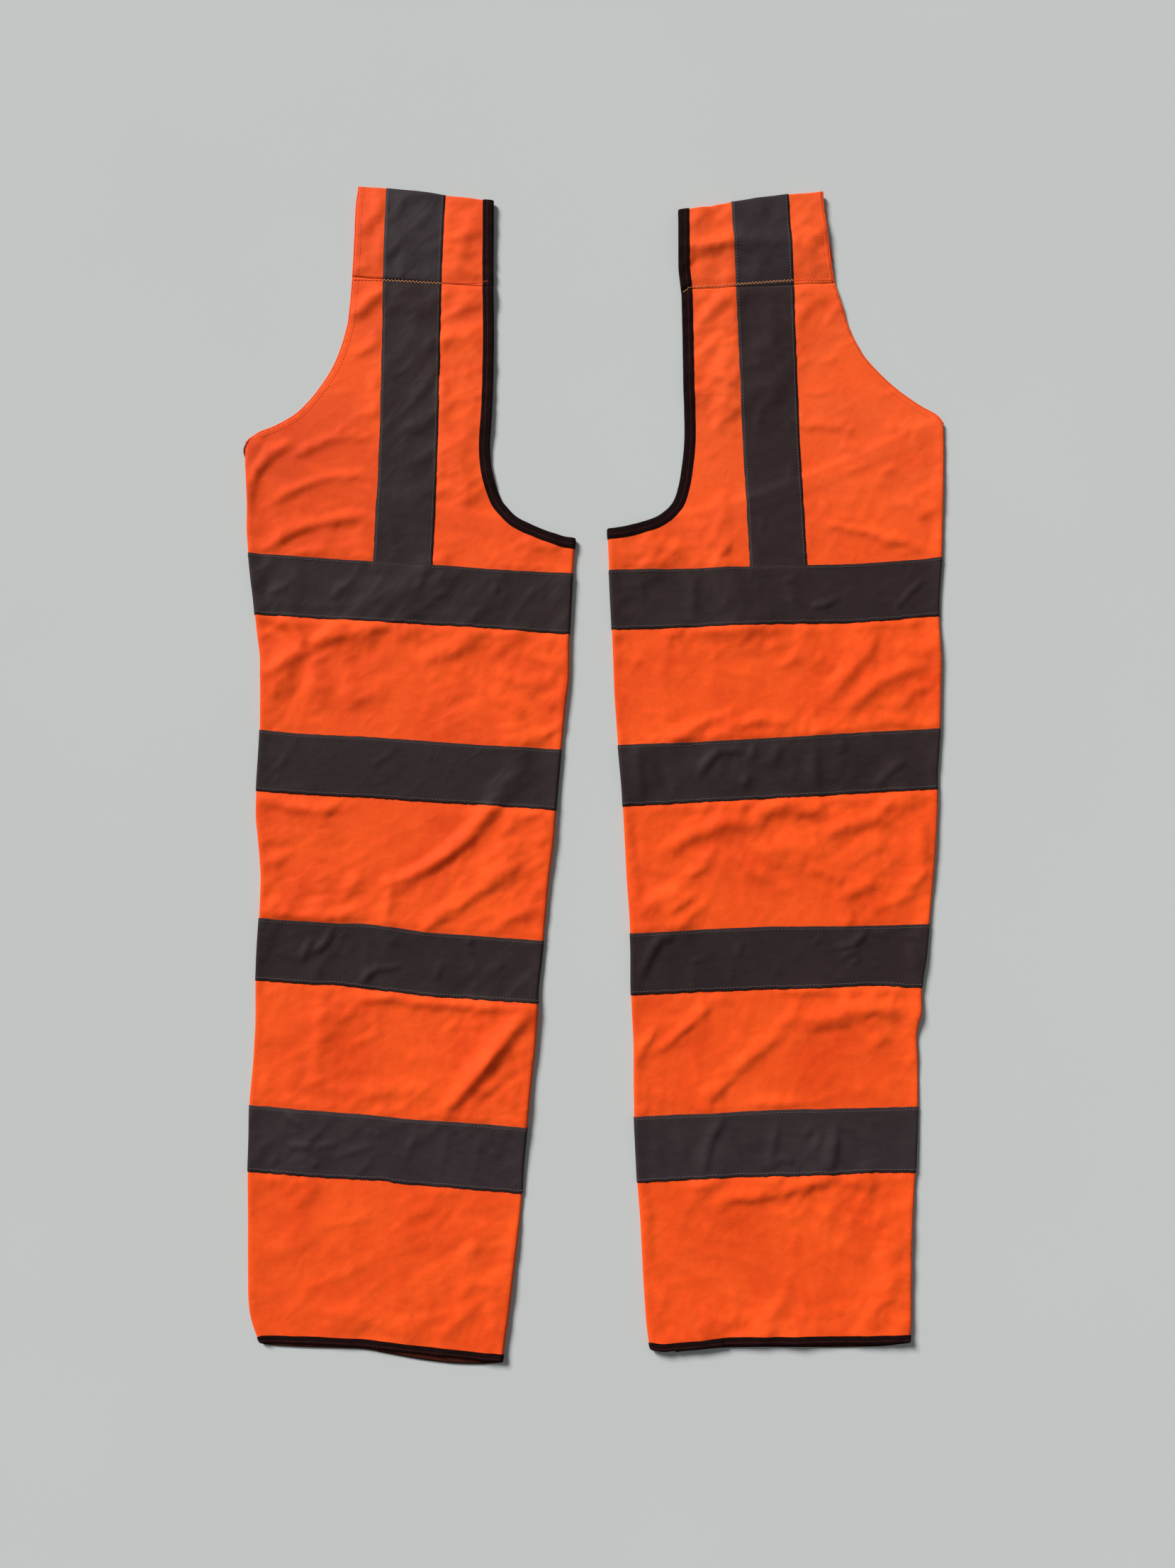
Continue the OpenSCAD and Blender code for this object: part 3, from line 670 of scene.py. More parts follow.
    # --- surfaces
    def tube(self, s, v):
        """The point at s round the tube and v up it."""
        s, v = np.broadcast_arrays(np.asarray(s, float), np.asarray(v, float))
        outer_fold, inner_fold = self.outer(v) - ROLL, self.inner(v) + ROLL
        past_out, past_in = s - outer_fold, inner_fold - s
        angle_out = np.clip(past_out / ROLL, 0, math.pi)
        angle_in = np.clip(past_in / ROLL, 0, math.pi)
        back_out = np.maximum(past_out - TURN, 0)
        back_in = np.maximum(past_in - TURN, 0)
        u = np.where(past_out > 0, outer_fold + ROLL * np.sin(angle_out) - back_out,
                     np.where(past_in > 0, inner_fold - ROLL * np.sin(angle_in) + back_in, s))
        edge_u = np.where(past_out > 0, outer_fold, np.where(past_in > 0, inner_fold, s))
        top, bottom = self.sample(self.front_map, edge_u, v), self.sample(self.back_map, u, v)
        angle = np.where(past_out > 0, angle_out, angle_in)
        z = np.where(angle > 0, (top + bottom) / 2 + (top - bottom) / 2 * np.cos(angle),
                     self.sample(self.front_map, u, v))
        return np.stack([u, v, z], -1)

    def back_s(self, u, v, side):
        """The s of a point on the back ply, reached round the outer or the inner fold."""
        if side == "outer":
            return self.outer(v) - ROLL + TURN + (self.outer(v) - ROLL - u)
        return self.inner(v) + ROLL - TURN - (u - self.inner(v) - ROLL)

    def seam_u(self, v):
        return 0.5 * (self.inner(v) + self.outer(v))

    def seam_s(self, v, side):
        return self.back_s(self.seam_u(v), v, side)

    def normal(self, s, v, surface=None):
        surface = surface or self.tube
        reach = 0.7
        across = surface(s + reach, v) - surface(s - reach, v)
        up = surface(s, v + reach) - surface(s, v - reach)
        return unit(np.cross(across, up))

    def hem(self, s):
        """Hem height all round: the back ply hangs a little lower than the front."""
        v = np.zeros_like(np.asarray(s, float))
        for _ in range(3):
            u = self.tube(s, v)[..., 0]
            back = (smoothstep(0, TURN, s - (self.outer(v) - ROLL))
                    + smoothstep(0, TURN, (self.inner(v) + ROLL) - s))
            v = self.hem_front(u) - self.hem_drop(u) * np.clip(back, 0, 1)
        return v

    def hem_seam_v(self):
        """Height of the back seam's lower end."""
        u = self.seam_u(0.0)
        return float(self.hem_front(u) - self.hem_drop(u))

    def loop(self, u, q):
        """Belt loop: q runs up the front from the seam, over the fold and down the back."""
        u, q = np.broadcast_arrays(np.asarray(u, float), np.asarray(q, float))
        fold_v = self.loop_top(u) - LOOP_ROLL
        length = fold_v - SEAM_V
        angle = np.clip((q - length) / LOOP_ROLL, 0, math.pi)
        down = np.maximum(q - length - LOOP_TURN, 0)
        v = np.where(q <= length, SEAM_V + q, fold_v + LOOP_ROLL * np.sin(angle) - down)
        front = self.sample(self.front_map, u, np.minimum(v, fold_v))
        fold_front = self.sample(self.front_map, u, fold_v)
        fold_back = BACK_MID + 0.15 + 0.3 * (1 + fbm(u / 30, fold_v / 26, 5, 1))
        back = (BACK_MID + 0.15
                + 0.3 * (1 + fbm(u / 30, v / 26, 5, 1)) * smoothstep(SEAM_V, SEAM_V + 20, v)
                - 0.25 * smoothstep(SEAM_V + 8, SEAM_V - 2, v))
        turning = ((fold_front + fold_back) / 2
                   + (fold_front - fold_back) / 2 * np.cos(angle))
        z = np.where(q <= length, front, np.where(angle < math.pi, turning, back))
        return np.stack([u, v, z], -1)

    def loop_len(self, u):
        return self.loop_top(u) - LOOP_ROLL - SEAM_V


# ---------------------------------------------------------------- settling the cloth
SIM_SCALE = 0.01      # the simulation runs at ten times size, 1 unit to 100 mm
SIM_PITCH = 4.6
SIM_FRAMES = 26


def settle_sheet(leg, index):
    """A lattice over one front ply: verts, triangles, pinned, taped, and how to read it."""
    us, vs = np.arange(-6, 296, SIM_PITCH), np.arange(-6, 960, SIM_PITCH * HEX)
    u, v = np.meshgrid(us, vs)
    u[1::2] += SIM_PITCH / 2
    points = np.stack([u.ravel(), v.ravel()], -1)
    outline = leg.front_outline()
    ids = np.arange(u.size).reshape(u.shape)
    tris = []
    for row in range(len(vs) - 1):
        a, b = ids[row, :-1], ids[row, 1:]
        c, d = ids[row + 1, 1:], ids[row + 1, :-1]
        split = ((a, b, d), (b, c, d)) if row % 2 == 0 else ((a, b, c), (a, c, d))
        tris += [np.stack(tri, -1) for tri in split]
    tris = np.vstack(tris)
    tris = tris[inside(outline, points)[tris].all(1)]
    used = np.unique(tris)
    renumber = -np.ones(len(points), int)
    renumber[used] = np.arange(len(used))
    kept = points[used]
    u, v = kept.T
    taped = (u > leg.tape_inner(v)) & (u < leg.tape_outer(v)) & (v > 620)
    for top, bottom in leg.bands:
        taped |= (v < top(u)) & (v > bottom(u))
    z = leg.sample(leg.folds, u, v) * 0.8 + 0.35 * fbm(u / 26, v / 19, 900 + index, 2)
    verts = np.stack([u * SIM_SCALE + 4 * index, v * SIM_SCALE, z * SIM_SCALE + 0.012], -1)
    pinned = edge_dist(outline, kept) < SIM_PITCH * 0.8
    return verts, renumber[tris], pinned, taped, (used, ids.shape, us[0], vs[0])


def read_settled(leg, heights, used, shape, u0, v0):
    """Turns simulated heights into the leg's height map."""
    z = np.full(shape[0] * shape[1], np.nan)
    z[used] = heights / SIM_SCALE - 1.2
    z = z.reshape(shape)
    for row in range(1, shape[0], 2):      # shifted rows back onto the grid
        z[row, 1:] = (z[row, 1:] + z[row, :-1]) / 2
    for _ in range(6):      # carry the edge values outwards
        for axis, shift in ((0, 1), (0, -1), (1, 1), (1, -1)):
            z = np.where(np.isnan(z), np.roll(z, shift, axis), z)
    x = np.clip((leg.u_map - u0) / SIM_PITCH, 0, shape[1] - 1.001)
    y = np.clip((leg.v_map - v0) / (SIM_PITCH * HEX), 0, shape[0] - 1.001)
    leg.settled = blur(bilinear(np.nan_to_num(z), x, y), 1.6)
    leg.make_heights()


def add_cloth(sheet):
    modifier = sheet.modifiers.new("cloth", "CLOTH")
    cloth = modifier.settings
    cloth.quality = 5
    cloth.mass = 0.15
    cloth.tension_stiffness = cloth.compression_stiffness = 22
    cloth.shear_stiffness = 12
    cloth.bending_stiffness = 6.0
    cloth.vertex_group_bending = "tape"
    cloth.bending_stiffness_max = 25.0
    cloth.tension_damping = cloth.compression_damping = cloth.shear_damping = 6
    cloth.bending_damping = 0.4
    cloth.air_damping = 2.0
    cloth.vertex_group_mass = "pin"
    cloth.pin_stiffness = 1.0
    cloth.vertex_group_shrink = "tape"
    cloth.shrink_min = -0.008      # negative: the cloth grows
    cloth.shrink_max = -0.0015
    cloth.effector_weights.gravity = 0.35
    modifier.collision_settings.distance_min = 0.004
    modifier.collision_settings.use_self_collision = False
    modifier.point_cache.frame_start = 1
    modifier.point_cache.frame_end = SIM_FRAMES


def settle(legs):
    """Both front plies as real cloth: a little more cloth than the seams leave room
    for, pinned along the seams and let down onto a floor."""
    verts, tris, pinned, taped, reading = zip(*[settle_sheet(leg, i)
                                               for i, leg in enumerate(legs)])
    starts = np.r_[0, np.cumsum([len(part) for part in verts])]
    mesh = bpy.data.meshes.new("settle")
    all_tris = np.vstack([part + start for part, start in zip(tris, starts)])
    mesh.from_pydata(np.vstack(verts).tolist(), [], all_tris.tolist())
    sheet = bpy.data.objects.new("settle", mesh)
    scene = bpy.context.scene
    scene.collection.objects.link(sheet)
    for name, masks in (("pin", pinned), ("tape", taped)):
        group = sheet.vertex_groups.new(name=name)
        group.add(np.nonzero(np.concatenate(masks))[0].tolist(), 1.0, "REPLACE")
    floor_mesh = bpy.data.meshes.new("settle_floor")
    floor_mesh.from_pydata([(-3, -3, -0.005), (12, -3, -0.005), (12, 13, -0.005),
                            (-3, 13, -0.005)], [], [(0, 1, 2, 3)])
    floor = bpy.data.objects.new("settle_floor", floor_mesh)
    scene.collection.objects.link(floor)
    floor.modifiers.new("hit", "COLLISION")
    floor.collision.thickness_outer = 0.004
    add_cloth(sheet)
    for i in range(1, SIM_FRAMES + 1):
        scene.frame_set(i)
    result = sheet.evaluated_get(bpy.context.evaluated_depsgraph_get()).to_mesh()
    coords = np.zeros(len(result.vertices) * 3, np.float32)
    result.vertices.foreach_get("co", coords)
    heights = coords.reshape(-1, 3)[:, 2]
    scene.frame_set(1)
    for item in (sheet, floor):
        bpy.data.objects.remove(item)
    for item in (mesh, floor_mesh):
        bpy.data.meshes.remove(item)
    for i, leg in enumerate(legs):
        read_settled(leg, heights[starts[i]:starts[i + 1]], *reading[i])


# ---------------------------------------------------------------- meshes
def build(name, side, verts, face_sets, uv, mats, mat_index=None):
    """A smooth mesh object; uv is given per vertex in mm, 100 mm to a unit."""
    faces = []
    for face_set in face_sets:
        face_set = np.asarray(face_set, int)
        faces += (face_set[:, ::-1] if side == "left" else face_set).tolist()
    mesh = bpy.data.meshes.new(name)
    mesh.from_pydata(to_row(side, verts).tolist(), [], faces)
    layer = mesh.uv_layers.new(name="UVMap")
    corners = np.zeros(len(mesh.loops), np.int32)
    mesh.loops.foreach_get("vertex_index", corners)
    layer.data.foreach_set("uv", np.asarray(uv, np.float32)[corners].ravel() * 0.01)
    for mat in mats:
        mesh.materials.append(mat)
    if mat_index is not None:
        mesh.polygons.foreach_set("material_index", np.asarray(mat_index, np.int32))
    mesh.polygons.foreach_set("use_smooth", np.full(len(mesh.polygons), True))
    mesh.validate()
    mesh.update()
    piece = bpy.data.objects.new(name, mesh)
    bpy.context.scene.collection.objects.link(piece)
    return piece


def thicken(points, normals, faces, thick, uv):
    """A closed sheet round a mid-surface."""
    count = len(points)
    size = faces.shape[1]
    edges = np.concatenate([np.stack([faces[:, i], faces[:, (i + 1) % size]], -1)
                            for i in range(size)])
    key = edges.min(1) * np.int64(count) + edges.max(1)
    _, first, uses = np.unique(key, return_index=True, return_counts=True)
    border = edges[first[uses == 1]]
    rim = np.stack([border[:, 1], border[:, 0], border[:, 0] + count,
                    border[:, 1] + count], -1)
    verts = np.concatenate([points + normals * thick / 2, points - normals * thick / 2])
    # the top keeps the winding, the bottom is turned over
    return verts, [faces, faces[:, ::-1] + count, rim], np.concatenate([uv, uv])


def grid_faces(rows, cols):
    i = np.arange(rows * cols).reshape(rows, cols)
    return np.stack([i[:-1, :-1], i[:-1, 1:], i[1:, 1:], i[1:, :-1]], -1).reshape(-1, 4)


def patch(leg, surface, s, q, thick, lift, name, mat, uv_rise=0.0):
    """A sheet over the grid s, q of a surface, raised by lift from its mid-surface."""
    normals = leg.normal(s, q, surface)
    lift = np.broadcast_to(lift, s.shape)[..., None]
    points = (surface(s, q) + normals * lift).reshape(-1, 3)
    uv = np.stack([s, q + uv_rise], -1).reshape(-1, 2)
    verts, faces, uv = thicken(points, normals.reshape(-1, 3), grid_faces(*s.shape), thick, uv)
    return build(name, leg.side, verts, faces, uv, [mat])


def outward(path, flip):
    """Unit vectors to the right of the path, or to its left if flipped."""
    along = unit(np.gradient(path, axis=0))
    return np.stack([along[:, 1], -along[:, 0]], -1) * (-1 if flip else 1)


def sweep(leg, surface, path, profile, name, mats, split=None, flip=False):
    """Sweeps a closed profile along the edge path of a surface. A profile point is (inset
    from the edge, height off the mid-surface); a negative inset is outside the edge."""
    out = outward(path, flip)
    run = np.r_[0, np.cumsum(np.linalg.norm(np.diff(path, axis=0), axis=1))]
    edge = surface(path[:, 0], path[:, 1])
    beside = path - out
    away = unit(edge - surface(beside[:, 0], beside[:, 1]))
    upward = unit(np.cross(unit(np.gradient(edge, axis=0)), away))
    facing = (upward * leg.normal(beside[:, 0], beside[:, 1], surface)).sum(1)
    upward *= np.sign(facing)[:, None]
    rings = []
    for inset, height in profile:
        if inset >= 0:
            s, v = path[:, 0] - out[:, 0] * inset, path[:, 1] - out[:, 1] * inset
            rings.append(surface(s, v) + leg.normal(s, v, surface) * height)
        else:
            rings.append(edge + away * (-inset) + upward * height)
    width = np.r_[0, np.cumsum(np.hypot(*np.diff(profile, axis=0).T))]
    uv = np.stack(np.broadcast_arrays(width, run[:, None]), -1)
    rings = np.stack(rings, 1)
    rings[..., 2] = np.maximum(rings[..., 2], 0.03)      # nothing reaches into the floor
    count, size = rings.shape[:2]
    i = np.arange(count * size).reshape(count, size)
    j = np.roll(i, -1, axis=1)
    faces = np.stack([i[:-1], j[:-1], j[1:], i[1:]], -1).reshape(-1, 4)
    # outward winding, judged on one face half way along
    verts = rings.reshape(-1, 3)
    quad = verts[faces[(count // 2) * size]]
    facing = np.cross(quad[1] - quad[0], quad[2] - quad[1])
    if facing @ (quad.mean(0) - rings[count // 2].mean(0)) < 0:
        faces = faces[:, ::-1]
    # profiles here are U shapes, so the caps are strips between matching points
    caps = []
    for row, turn in ((i[0], 1), (i[-1], -1)):
        for k in range(size // 2 - 1):
            caps.append([row[k], row[k + 1], row[size - 2 - k], row[size - 1 - k]][::turn])
    index = (split or [0] * size) * (count - 1) + [0] * len(caps)
    return fix_normals(build(name, leg.side, verts, [faces, caps], uv.reshape(-1, 2),
                             mats, index))


def fix_normals(piece):
    bm = bmesh.new()
    bm.from_mesh(piece.data)
    bmesh.ops.recalc_face_normals(bm, faces=bm.faces)
    bm.to_mesh(piece.data)
    bm.free()
    return piece


STITCH_PITCH = 2.7
STITCH_LENGTH = 2.1
STITCH_SIDES = 6
# a stitch's rings: place along it, over its length; radius and lift, over the thread's
STITCH_AT = np.array([-0.5, -0.32, 0, 0.32, 0.5])
STITCH_RADIUS = np.array([0.35, 0.95, 1.0, 0.95, 0.35])
STITCH_LIFT = np.array([-0.9, 0.15, 0.45, 0.15, -0.9])


def stitches(leg, surface, path, name, mat, lift, seed, radius=0.2):
    """A lockstitch row: one small thread hump for each stitch along path."""
    path = resample(path, STITCH_PITCH)
    wobble = np.random.default_rng(seed).normal(0, 0.12, (len(path) - 1, 2)) * 0.4
    middle = (path[:-1] + path[1:]) / 2 + wobble
    along = unit(path[1:] - path[:-1])
    verts = []
    for at, ring, rise in zip(STITCH_AT, STITCH_RADIUS * radius, STITCH_LIFT * radius):
        s, v = (middle + along * at * STITCH_LENGTH).T
        points, normals = surface(s, v), leg.normal(s, v, surface)
        ahead = surface(s + along[:, 0] * 0.3, v + along[:, 1] * 0.3)
        across = np.cross(normals, unit(ahead - points))
        for j in range(STITCH_SIDES):
            angle = 2 * math.pi * j / STITCH_SIDES
            verts.append(points + normals * (lift + rise + ring * math.sin(angle))
                         + across * (ring * math.cos(angle)))
    verts = np.stack(verts, 1)
    count, size = verts.shape[:2]
    base = (np.arange(count) * size)[:, None]
    quads = []
    for i in range(0, size - STITCH_SIDES, STITCH_SIDES):
        for j in range(STITCH_SIDES):
            k = (j + 1) % STITCH_SIDES
            quads.append([i + j, i + k, i + STITCH_SIDES + k, i + STITCH_SIDES + j])
    quads = (base[:, None] + np.array(quads)).reshape(-1, 4)
    first_cap = base + np.arange(STITCH_SIDES)[::-1]
    last_cap = base + np.arange(size - STITCH_SIDES, size)
    uv = np.stack([np.arange(count * size) * 0.7,
                   np.tile(np.repeat(STITCH_AT, STITCH_SIDES) * STITCH_LENGTH, count)], -1)
    return fix_normals(build(name, leg.side, verts.reshape(-1, 3),
                             [quads, first_cap, last_cap], uv, [mat]))


def cord(leg, points, name, mat, radius, sides=5):
    """A round thread through points; radius is one number or one for each point."""
    along = unit(np.gradient(points, axis=0))
    across = np.cross(along, np.array([0, 0, 1.0]))
    across /= np.maximum(np.linalg.norm(across, axis=1, keepdims=True), 1e-6)
    up = np.cross(across, along)
    verts = np.stack([points + radius * (math.cos(angle) * across + math.sin(angle) * up)
                      for angle in np.arange(sides) * 2 * math.pi / sides], 1)
    count = len(points)
    i = np.arange(count * sides).reshape(count, sides)
    j = np.roll(i, -1, axis=1)
    faces = np.stack([i[:-1], j[:-1], j[1:], i[1:]], -1).reshape(-1, 4)
    uv = np.stack([np.tile(np.arange(sides) * 0.3, count),
                   np.repeat(np.arange(count) * 0.5, sides)], -1)
    return fix_normals(build(name, leg.side, verts.reshape(-1, 3),
                             [faces, i[0][None, ::-1], i[-1][None]], uv, [mat]))


def join(name, pieces):
    """One piece from several meshes."""
    bm = bmesh.new()
    for piece in pieces:
        bm.from_mesh(piece.data)
    mesh = bpy.data.meshes.new(name)
    bm.to_mesh(mesh)
    bm.free()
    for mat in pieces[0].data.materials:
        mesh.materials.append(mat)
    for piece in pieces:
        bpy.data.objects.remove(piece)
    joined = bpy.data.objects.new(name, mesh)
    bpy.context.scene.collection.objects.link(joined)
    return joined


# ---------------------------------------------------------------- materials
def srgb(red, green, blue):
    return tuple(((c / 255 + 0.055) / 1.055) ** 2.4 for c in (red, green, blue)) + (1.0,)


def plug(socket, value):
    """Links a socket to another, or sets its value."""
    if hasattr(value, "links"):
        socket.id_data.links.new(value, socket)
    else:
        socket.default_value = value


class Mat:
    """Builds a material's nodes. One UV unit is 100 mm."""

    def __init__(self, name):
        self.material = bpy.data.materials.new(name)
        self.material.use_nodes = True
        self.nodes = self.material.node_tree.nodes

    @cached_property
    def uv_node(self):
        return self.node("UVMap", uv_map="UVMap")

    def node(self, kind, **values):
        node = self.nodes.new("ShaderNode" + kind)
        for key, value in values.items():
            if key in node.inputs:
                plug(node.inputs[key], value)
            else:
                setattr(node, key, value)
        return node

    def uv_xy(self):
        return self.node("SeparateXYZ", Vector=self.uv_node.outputs[0]).outputs

    def scaled(self, x=1, y=1, turn=0.0):
        mapping = self.node("Mapping", Scale=(x, y, 1))
        vector = self.uv_node.outputs[0]
        if turn:      # turned first, so that the stretch runs along the turned axes
            vector = self.node("Mapping", Rotation=(0, 0, turn), Vector=vector).outputs[0]
        plug(mapping.inputs["Vector"], vector)
        return mapping.outputs[0]

    def noise(self, vector, scale, detail=3.0, rough=0.55):
        return self.node("TexNoise", Scale=scale, Detail=detail, Roughness=rough,
                         Vector=vector).outputs[0]

    def ridges(self, vector, detail, distortion):
        return self.node("TexNoise", noise_type="RIDGED_MULTIFRACTAL", Scale=1.0,
                         Detail=detail, Distortion=distortion, Vector=vector).outputs[0]

    def ramp(self, factor, *stops):
        node = self.node("ValToRGB")
        for element, (position, color) in zip(node.color_ramp.elements, stops):
            element.position, element.color = position, color
        plug(node.inputs[0], factor)
        return node.outputs[0]

    def math(self, operation, *values):
        node = self.node("Math", operation=operation)
        for socket, value in zip(node.inputs, values):
            plug(socket, value)
        return node.outputs[0]

    def add(self, a, b):
        return self.math("ADD", a, b)

    def sub(self, a, b):
        return self.math("SUBTRACT", a, b)

    def mul(self, a, b):
        return self.math("MULTIPLY", a, b)

    def clamp(self, value):
        return self.math("MINIMUM", self.math("MAXIMUM", value, 0.0), 1.0)

    def weighted(self, *terms):
        """The sum of (value, weight) terms."""
        total = self.mul(*terms[0])
        for term in terms[1:]:
            total = self.add(total, self.mul(*term))
        return total

    def mix(self, factor, a, b, mode="MIX"):
        node = self.node("Mix", data_type="RGBA", blend_type=mode)
        for index, value in ((0, factor), (6, a), (7, b)):
            plug(node.inputs[index], value)
        return node.outputs[2]

    def wave(self, vector, scale, axis, distortion):
        return self.node("TexWave", bands_direction=axis, Scale=scale,
                         Distortion=distortion, Vector=vector).outputs["Fac"]

    def bump(self, height, strength, distance, under=None):
        node = self.node("Bump", Strength=strength, Distance=distance, Height=height)
        if under is not None:
            plug(node.inputs["Normal"], under)
        return node.outputs[0]

    def set(self, **values):
        inputs = self.nodes["Principled BSDF"].inputs
        for key, value in values.items():
            plug(inputs[key.replace("_", " ")], value)
        return self.material


def grey(value):
    return (value, value, value, 1)


def cloth_material(name, hi, lo, sheen=0.18, painted_top_light=0.42, hip=False):
    """Woven cloth between two tones, with painted light: the upper leg goes paler by the amount
    given after sheen.
    """
    m = Mat(name)
    vec = m.scaled()
    big = m.noise(vec, 1.6, 4)
    streak = m.noise(m.scaled(22, 1.2), 1.0, 3)
    slub = m.noise(m.scaled(3, 60), 1.0, 2)
    fine = m.noise(vec, 90, 2)
    mottle = m.noise(vec, 9, 4, 0.65)
    tone = m.weighted((big, 0.52), (streak, 0.05), (slub, 0.05), (mottle, 0.22), (fine, 0.16))
    color = m.ramp(tone, (0.36, lo), (0.62, hi))
    x, y = m.uv_xy()[:2]
    # a little random paling all over, plus painted light that pales and desaturates the upper leg
    # where the light falls brighter
    high = m.clamp(m.mul(m.sub(y, 5.9), 0.6))
    pale = m.mul(m.noise(m.scaled(), 3.1, 3), m.add(m.mul(high, painted_top_light), 0.08))
    color = m.mix(pale, color, (min(1.0, hi[0] * 1.06), hi[1] * 1.75, hi[2] * 4.5, 1))
    if hip:      # painted shade: a darker round patch over the hip, where the cloth slopes away from the light
        dx = m.mul(m.sub(x, 2.35), 1.2)
        dy = m.mul(m.sub(y, 6.85), 1.1)
        square = m.add(m.mul(dx, dx), m.mul(dy, dy))
        painted_hip_shade = m.math("MAXIMUM", m.sub(1.0, square), 0.0)
        uneven = m.add(m.noise(m.scaled(), 3.6, 3), 0.55)
        painted_hip_shade = m.math("MINIMUM", m.mul(painted_hip_shade, uneven), 1.0)
        color = m.mix(painted_hip_shade, color, (0.85, 0.76, 0.70, 1), "MULTIPLY")
    # a fine twill
    twill = m.wave(vec, 31.4, "DIAGONAL", 0.6)
    weave = m.weighted((twill, 0.6), (m.wave(m.scaled(), 62.8, "X", 0.3), 0.4))
    color = m.mix(m.mul(weave, 0.10), color, (lo[0] * .75, lo[1] * .6, lo[2] * .6, 1))
    normal = m.bump(weave, 0.35, 0.00012)
    normal = m.bump(m.noise(vec, 26, 3), 0.25, 0.0005, normal)
    # two crossing sets of creases
    for turn, x, y, depth in ((0.62, 5.2, 9.4, 0.00034), (-0.85, 6.4, 10.4, 0.00026)):
        normal = m.bump(m.ridges(m.scaled(x, y, turn), 2.5, 0.5), 0.8, depth, normal)
    rough = m.ramp(big, (0.3, grey(0.66)), (0.7, grey(0.78)))
    return m.set(Base_Color=color, Roughness=rough, Normal=normal, Sheen_Weight=sheen,
                 Sheen_Roughness=0.45, Sheen_Tint=(1.0, 0.33, 0.10, 1),
                 Specular_IOR_Level=0.12)


def tape_material(name, top=(1.12, 1.0, 0.98, 1)):
    """Reflective tape: a dark satin coat of beads; top tints its upper end."""
    m = Mat(name)
    vec = m.scaled()
    mid = None
    big = m.noise(vec, 2.6, 4, 0.6)
    mid = m.noise(m.scaled(1, 3), 7, 4, 0.65)
    bead = m.node("TexVoronoi", Scale=240, Vector=vec)
    color = m.ramp(m.weighted((big, 0.5), (mid, 0.5)),
                   (0.34, (0.0195, 0.0108, 0.0115, 1)), (0.66, (0.0285, 0.0170, 0.0175, 1)))
    y = m.uv_xy()[1]
    low = m.sub(2.15, m.mul(y, 0.77))
    high = m.mul(m.sub(y, 5.2), 0.35)
    color = m.mix(m.clamp(low), color, (1.30, 1.50, 1.64, 1), "MULTIPLY")
    color = m.mix(m.clamp(high), color, top, "MULTIPLY")
    color = m.mix(m.mul(m.noise(vec, 150, 1), 0.20), color, (0.055, 0.045, 0.047, 1))
    weave = m.add(m.wave(vec, 62.8, "X", 0.4), m.wave(vec, 62.8, "Y", 0.4))
    normal = m.bump(bead.outputs["Distance"], 0.25, 0.00008)
    normal = m.bump(weave, 0.18, 0.00008, normal)
    normal = m.bump(m.noise(vec, 16, 4, 0.7), 0.35, 0.0007, normal)
    normal = m.bump(m.ridges(m.scaled(4.2, 8.6, 0.9), 2.0, 0.6), 0.9, 0.0004, normal)
    rough = m.ramp(mid, (0.3, grey(0.54)), (0.7, grey(0.68)))
    return m.set(Base_Color=color, Roughness=rough, Normal=normal, Metallic=0.0,
                 Specular_IOR_Level=0.10, Sheen_Weight=0.03, Sheen_Roughness=0.3,
                 Sheen_Tint=(0.8, 0.8, 0.85, 1))


def binding_material(name, base, ridge_color):
    """Folded knit binding with fine ribs along it. UV x runs across it, y along it."""
    m = Mat(name)
    vec = m.scaled()
    across = m.wave(vec, 34, "X", 0.8)
    along = m.wave(vec, 52, "Y", 0.5)
    color = m.ramp(m.noise(vec, 30, 3), (0.35, base),
                   (0.75, tuple(c * 1.7 for c in base[:3]) + (1,)))
    # one faint line of the ridge colour along the middle
    off_middle = m.math("ABSOLUTE", m.sub(m.uv_xy()[0], 0.042))
    ridge = m.sub(1.0, m.mul(off_middle, 130.0))
    ridge = m.mul(m.math("MAXIMUM", ridge, 0.0), m.noise(m.scaled(), 9, 3))
    color = m.mix(ridge, color, ridge_color)
    normal = m.bump(m.weighted((across, 0.7), (along, 0.3)), 0.6, 0.0002)
    normal = m.bump(m.noise(vec, 60, 2), 0.3, 0.0003, normal)
    return m.set(Base_Color=color, Roughness=0.9, Normal=normal, Specular_IOR_Level=0.06,
                 Sheen_Weight=0.03, Sheen_Roughness=0.5, Sheen_Tint=(0.6, 0.2, 0.2, 1))


def thread_material(name, dark, pale):
    m = Mat(name)
    mottle = m.noise(m.scaled(), 40, 2)
    twist = m.wave(m.scaled(), 110, "DIAGONAL", 0.2)
    return m.set(Base_Color=m.ramp(mottle, (0.3, dark), (0.7, pale)), Roughness=0.6,
                 Normal=m.bump(twist, 0.5, 0.00008), Specular_IOR_Level=0.3,
                 Sheen_Weight=0.1)


bright_orange, deep_orange = (0.96, 0.099, 0.0105, 1), (0.74, 0.054, 0.0045, 1)
ORANGE = {
    "left": cloth_material("orange_cloth_left", bright_orange, deep_orange,
                           painted_top_light=0.18, hip=True),
    "right": cloth_material("orange_cloth_right", bright_orange, deep_orange)}
ORANGE_EDGE = cloth_material("orange_hem", (0.90, 0.090, 0.015, 1), (0.78, 0.062, 0.010, 1))
TAPE = {"left": tape_material("reflective_tape_left", top=(0.97, 0.79, 0.78, 1)),
        "right": tape_material("reflective_tape_right")}
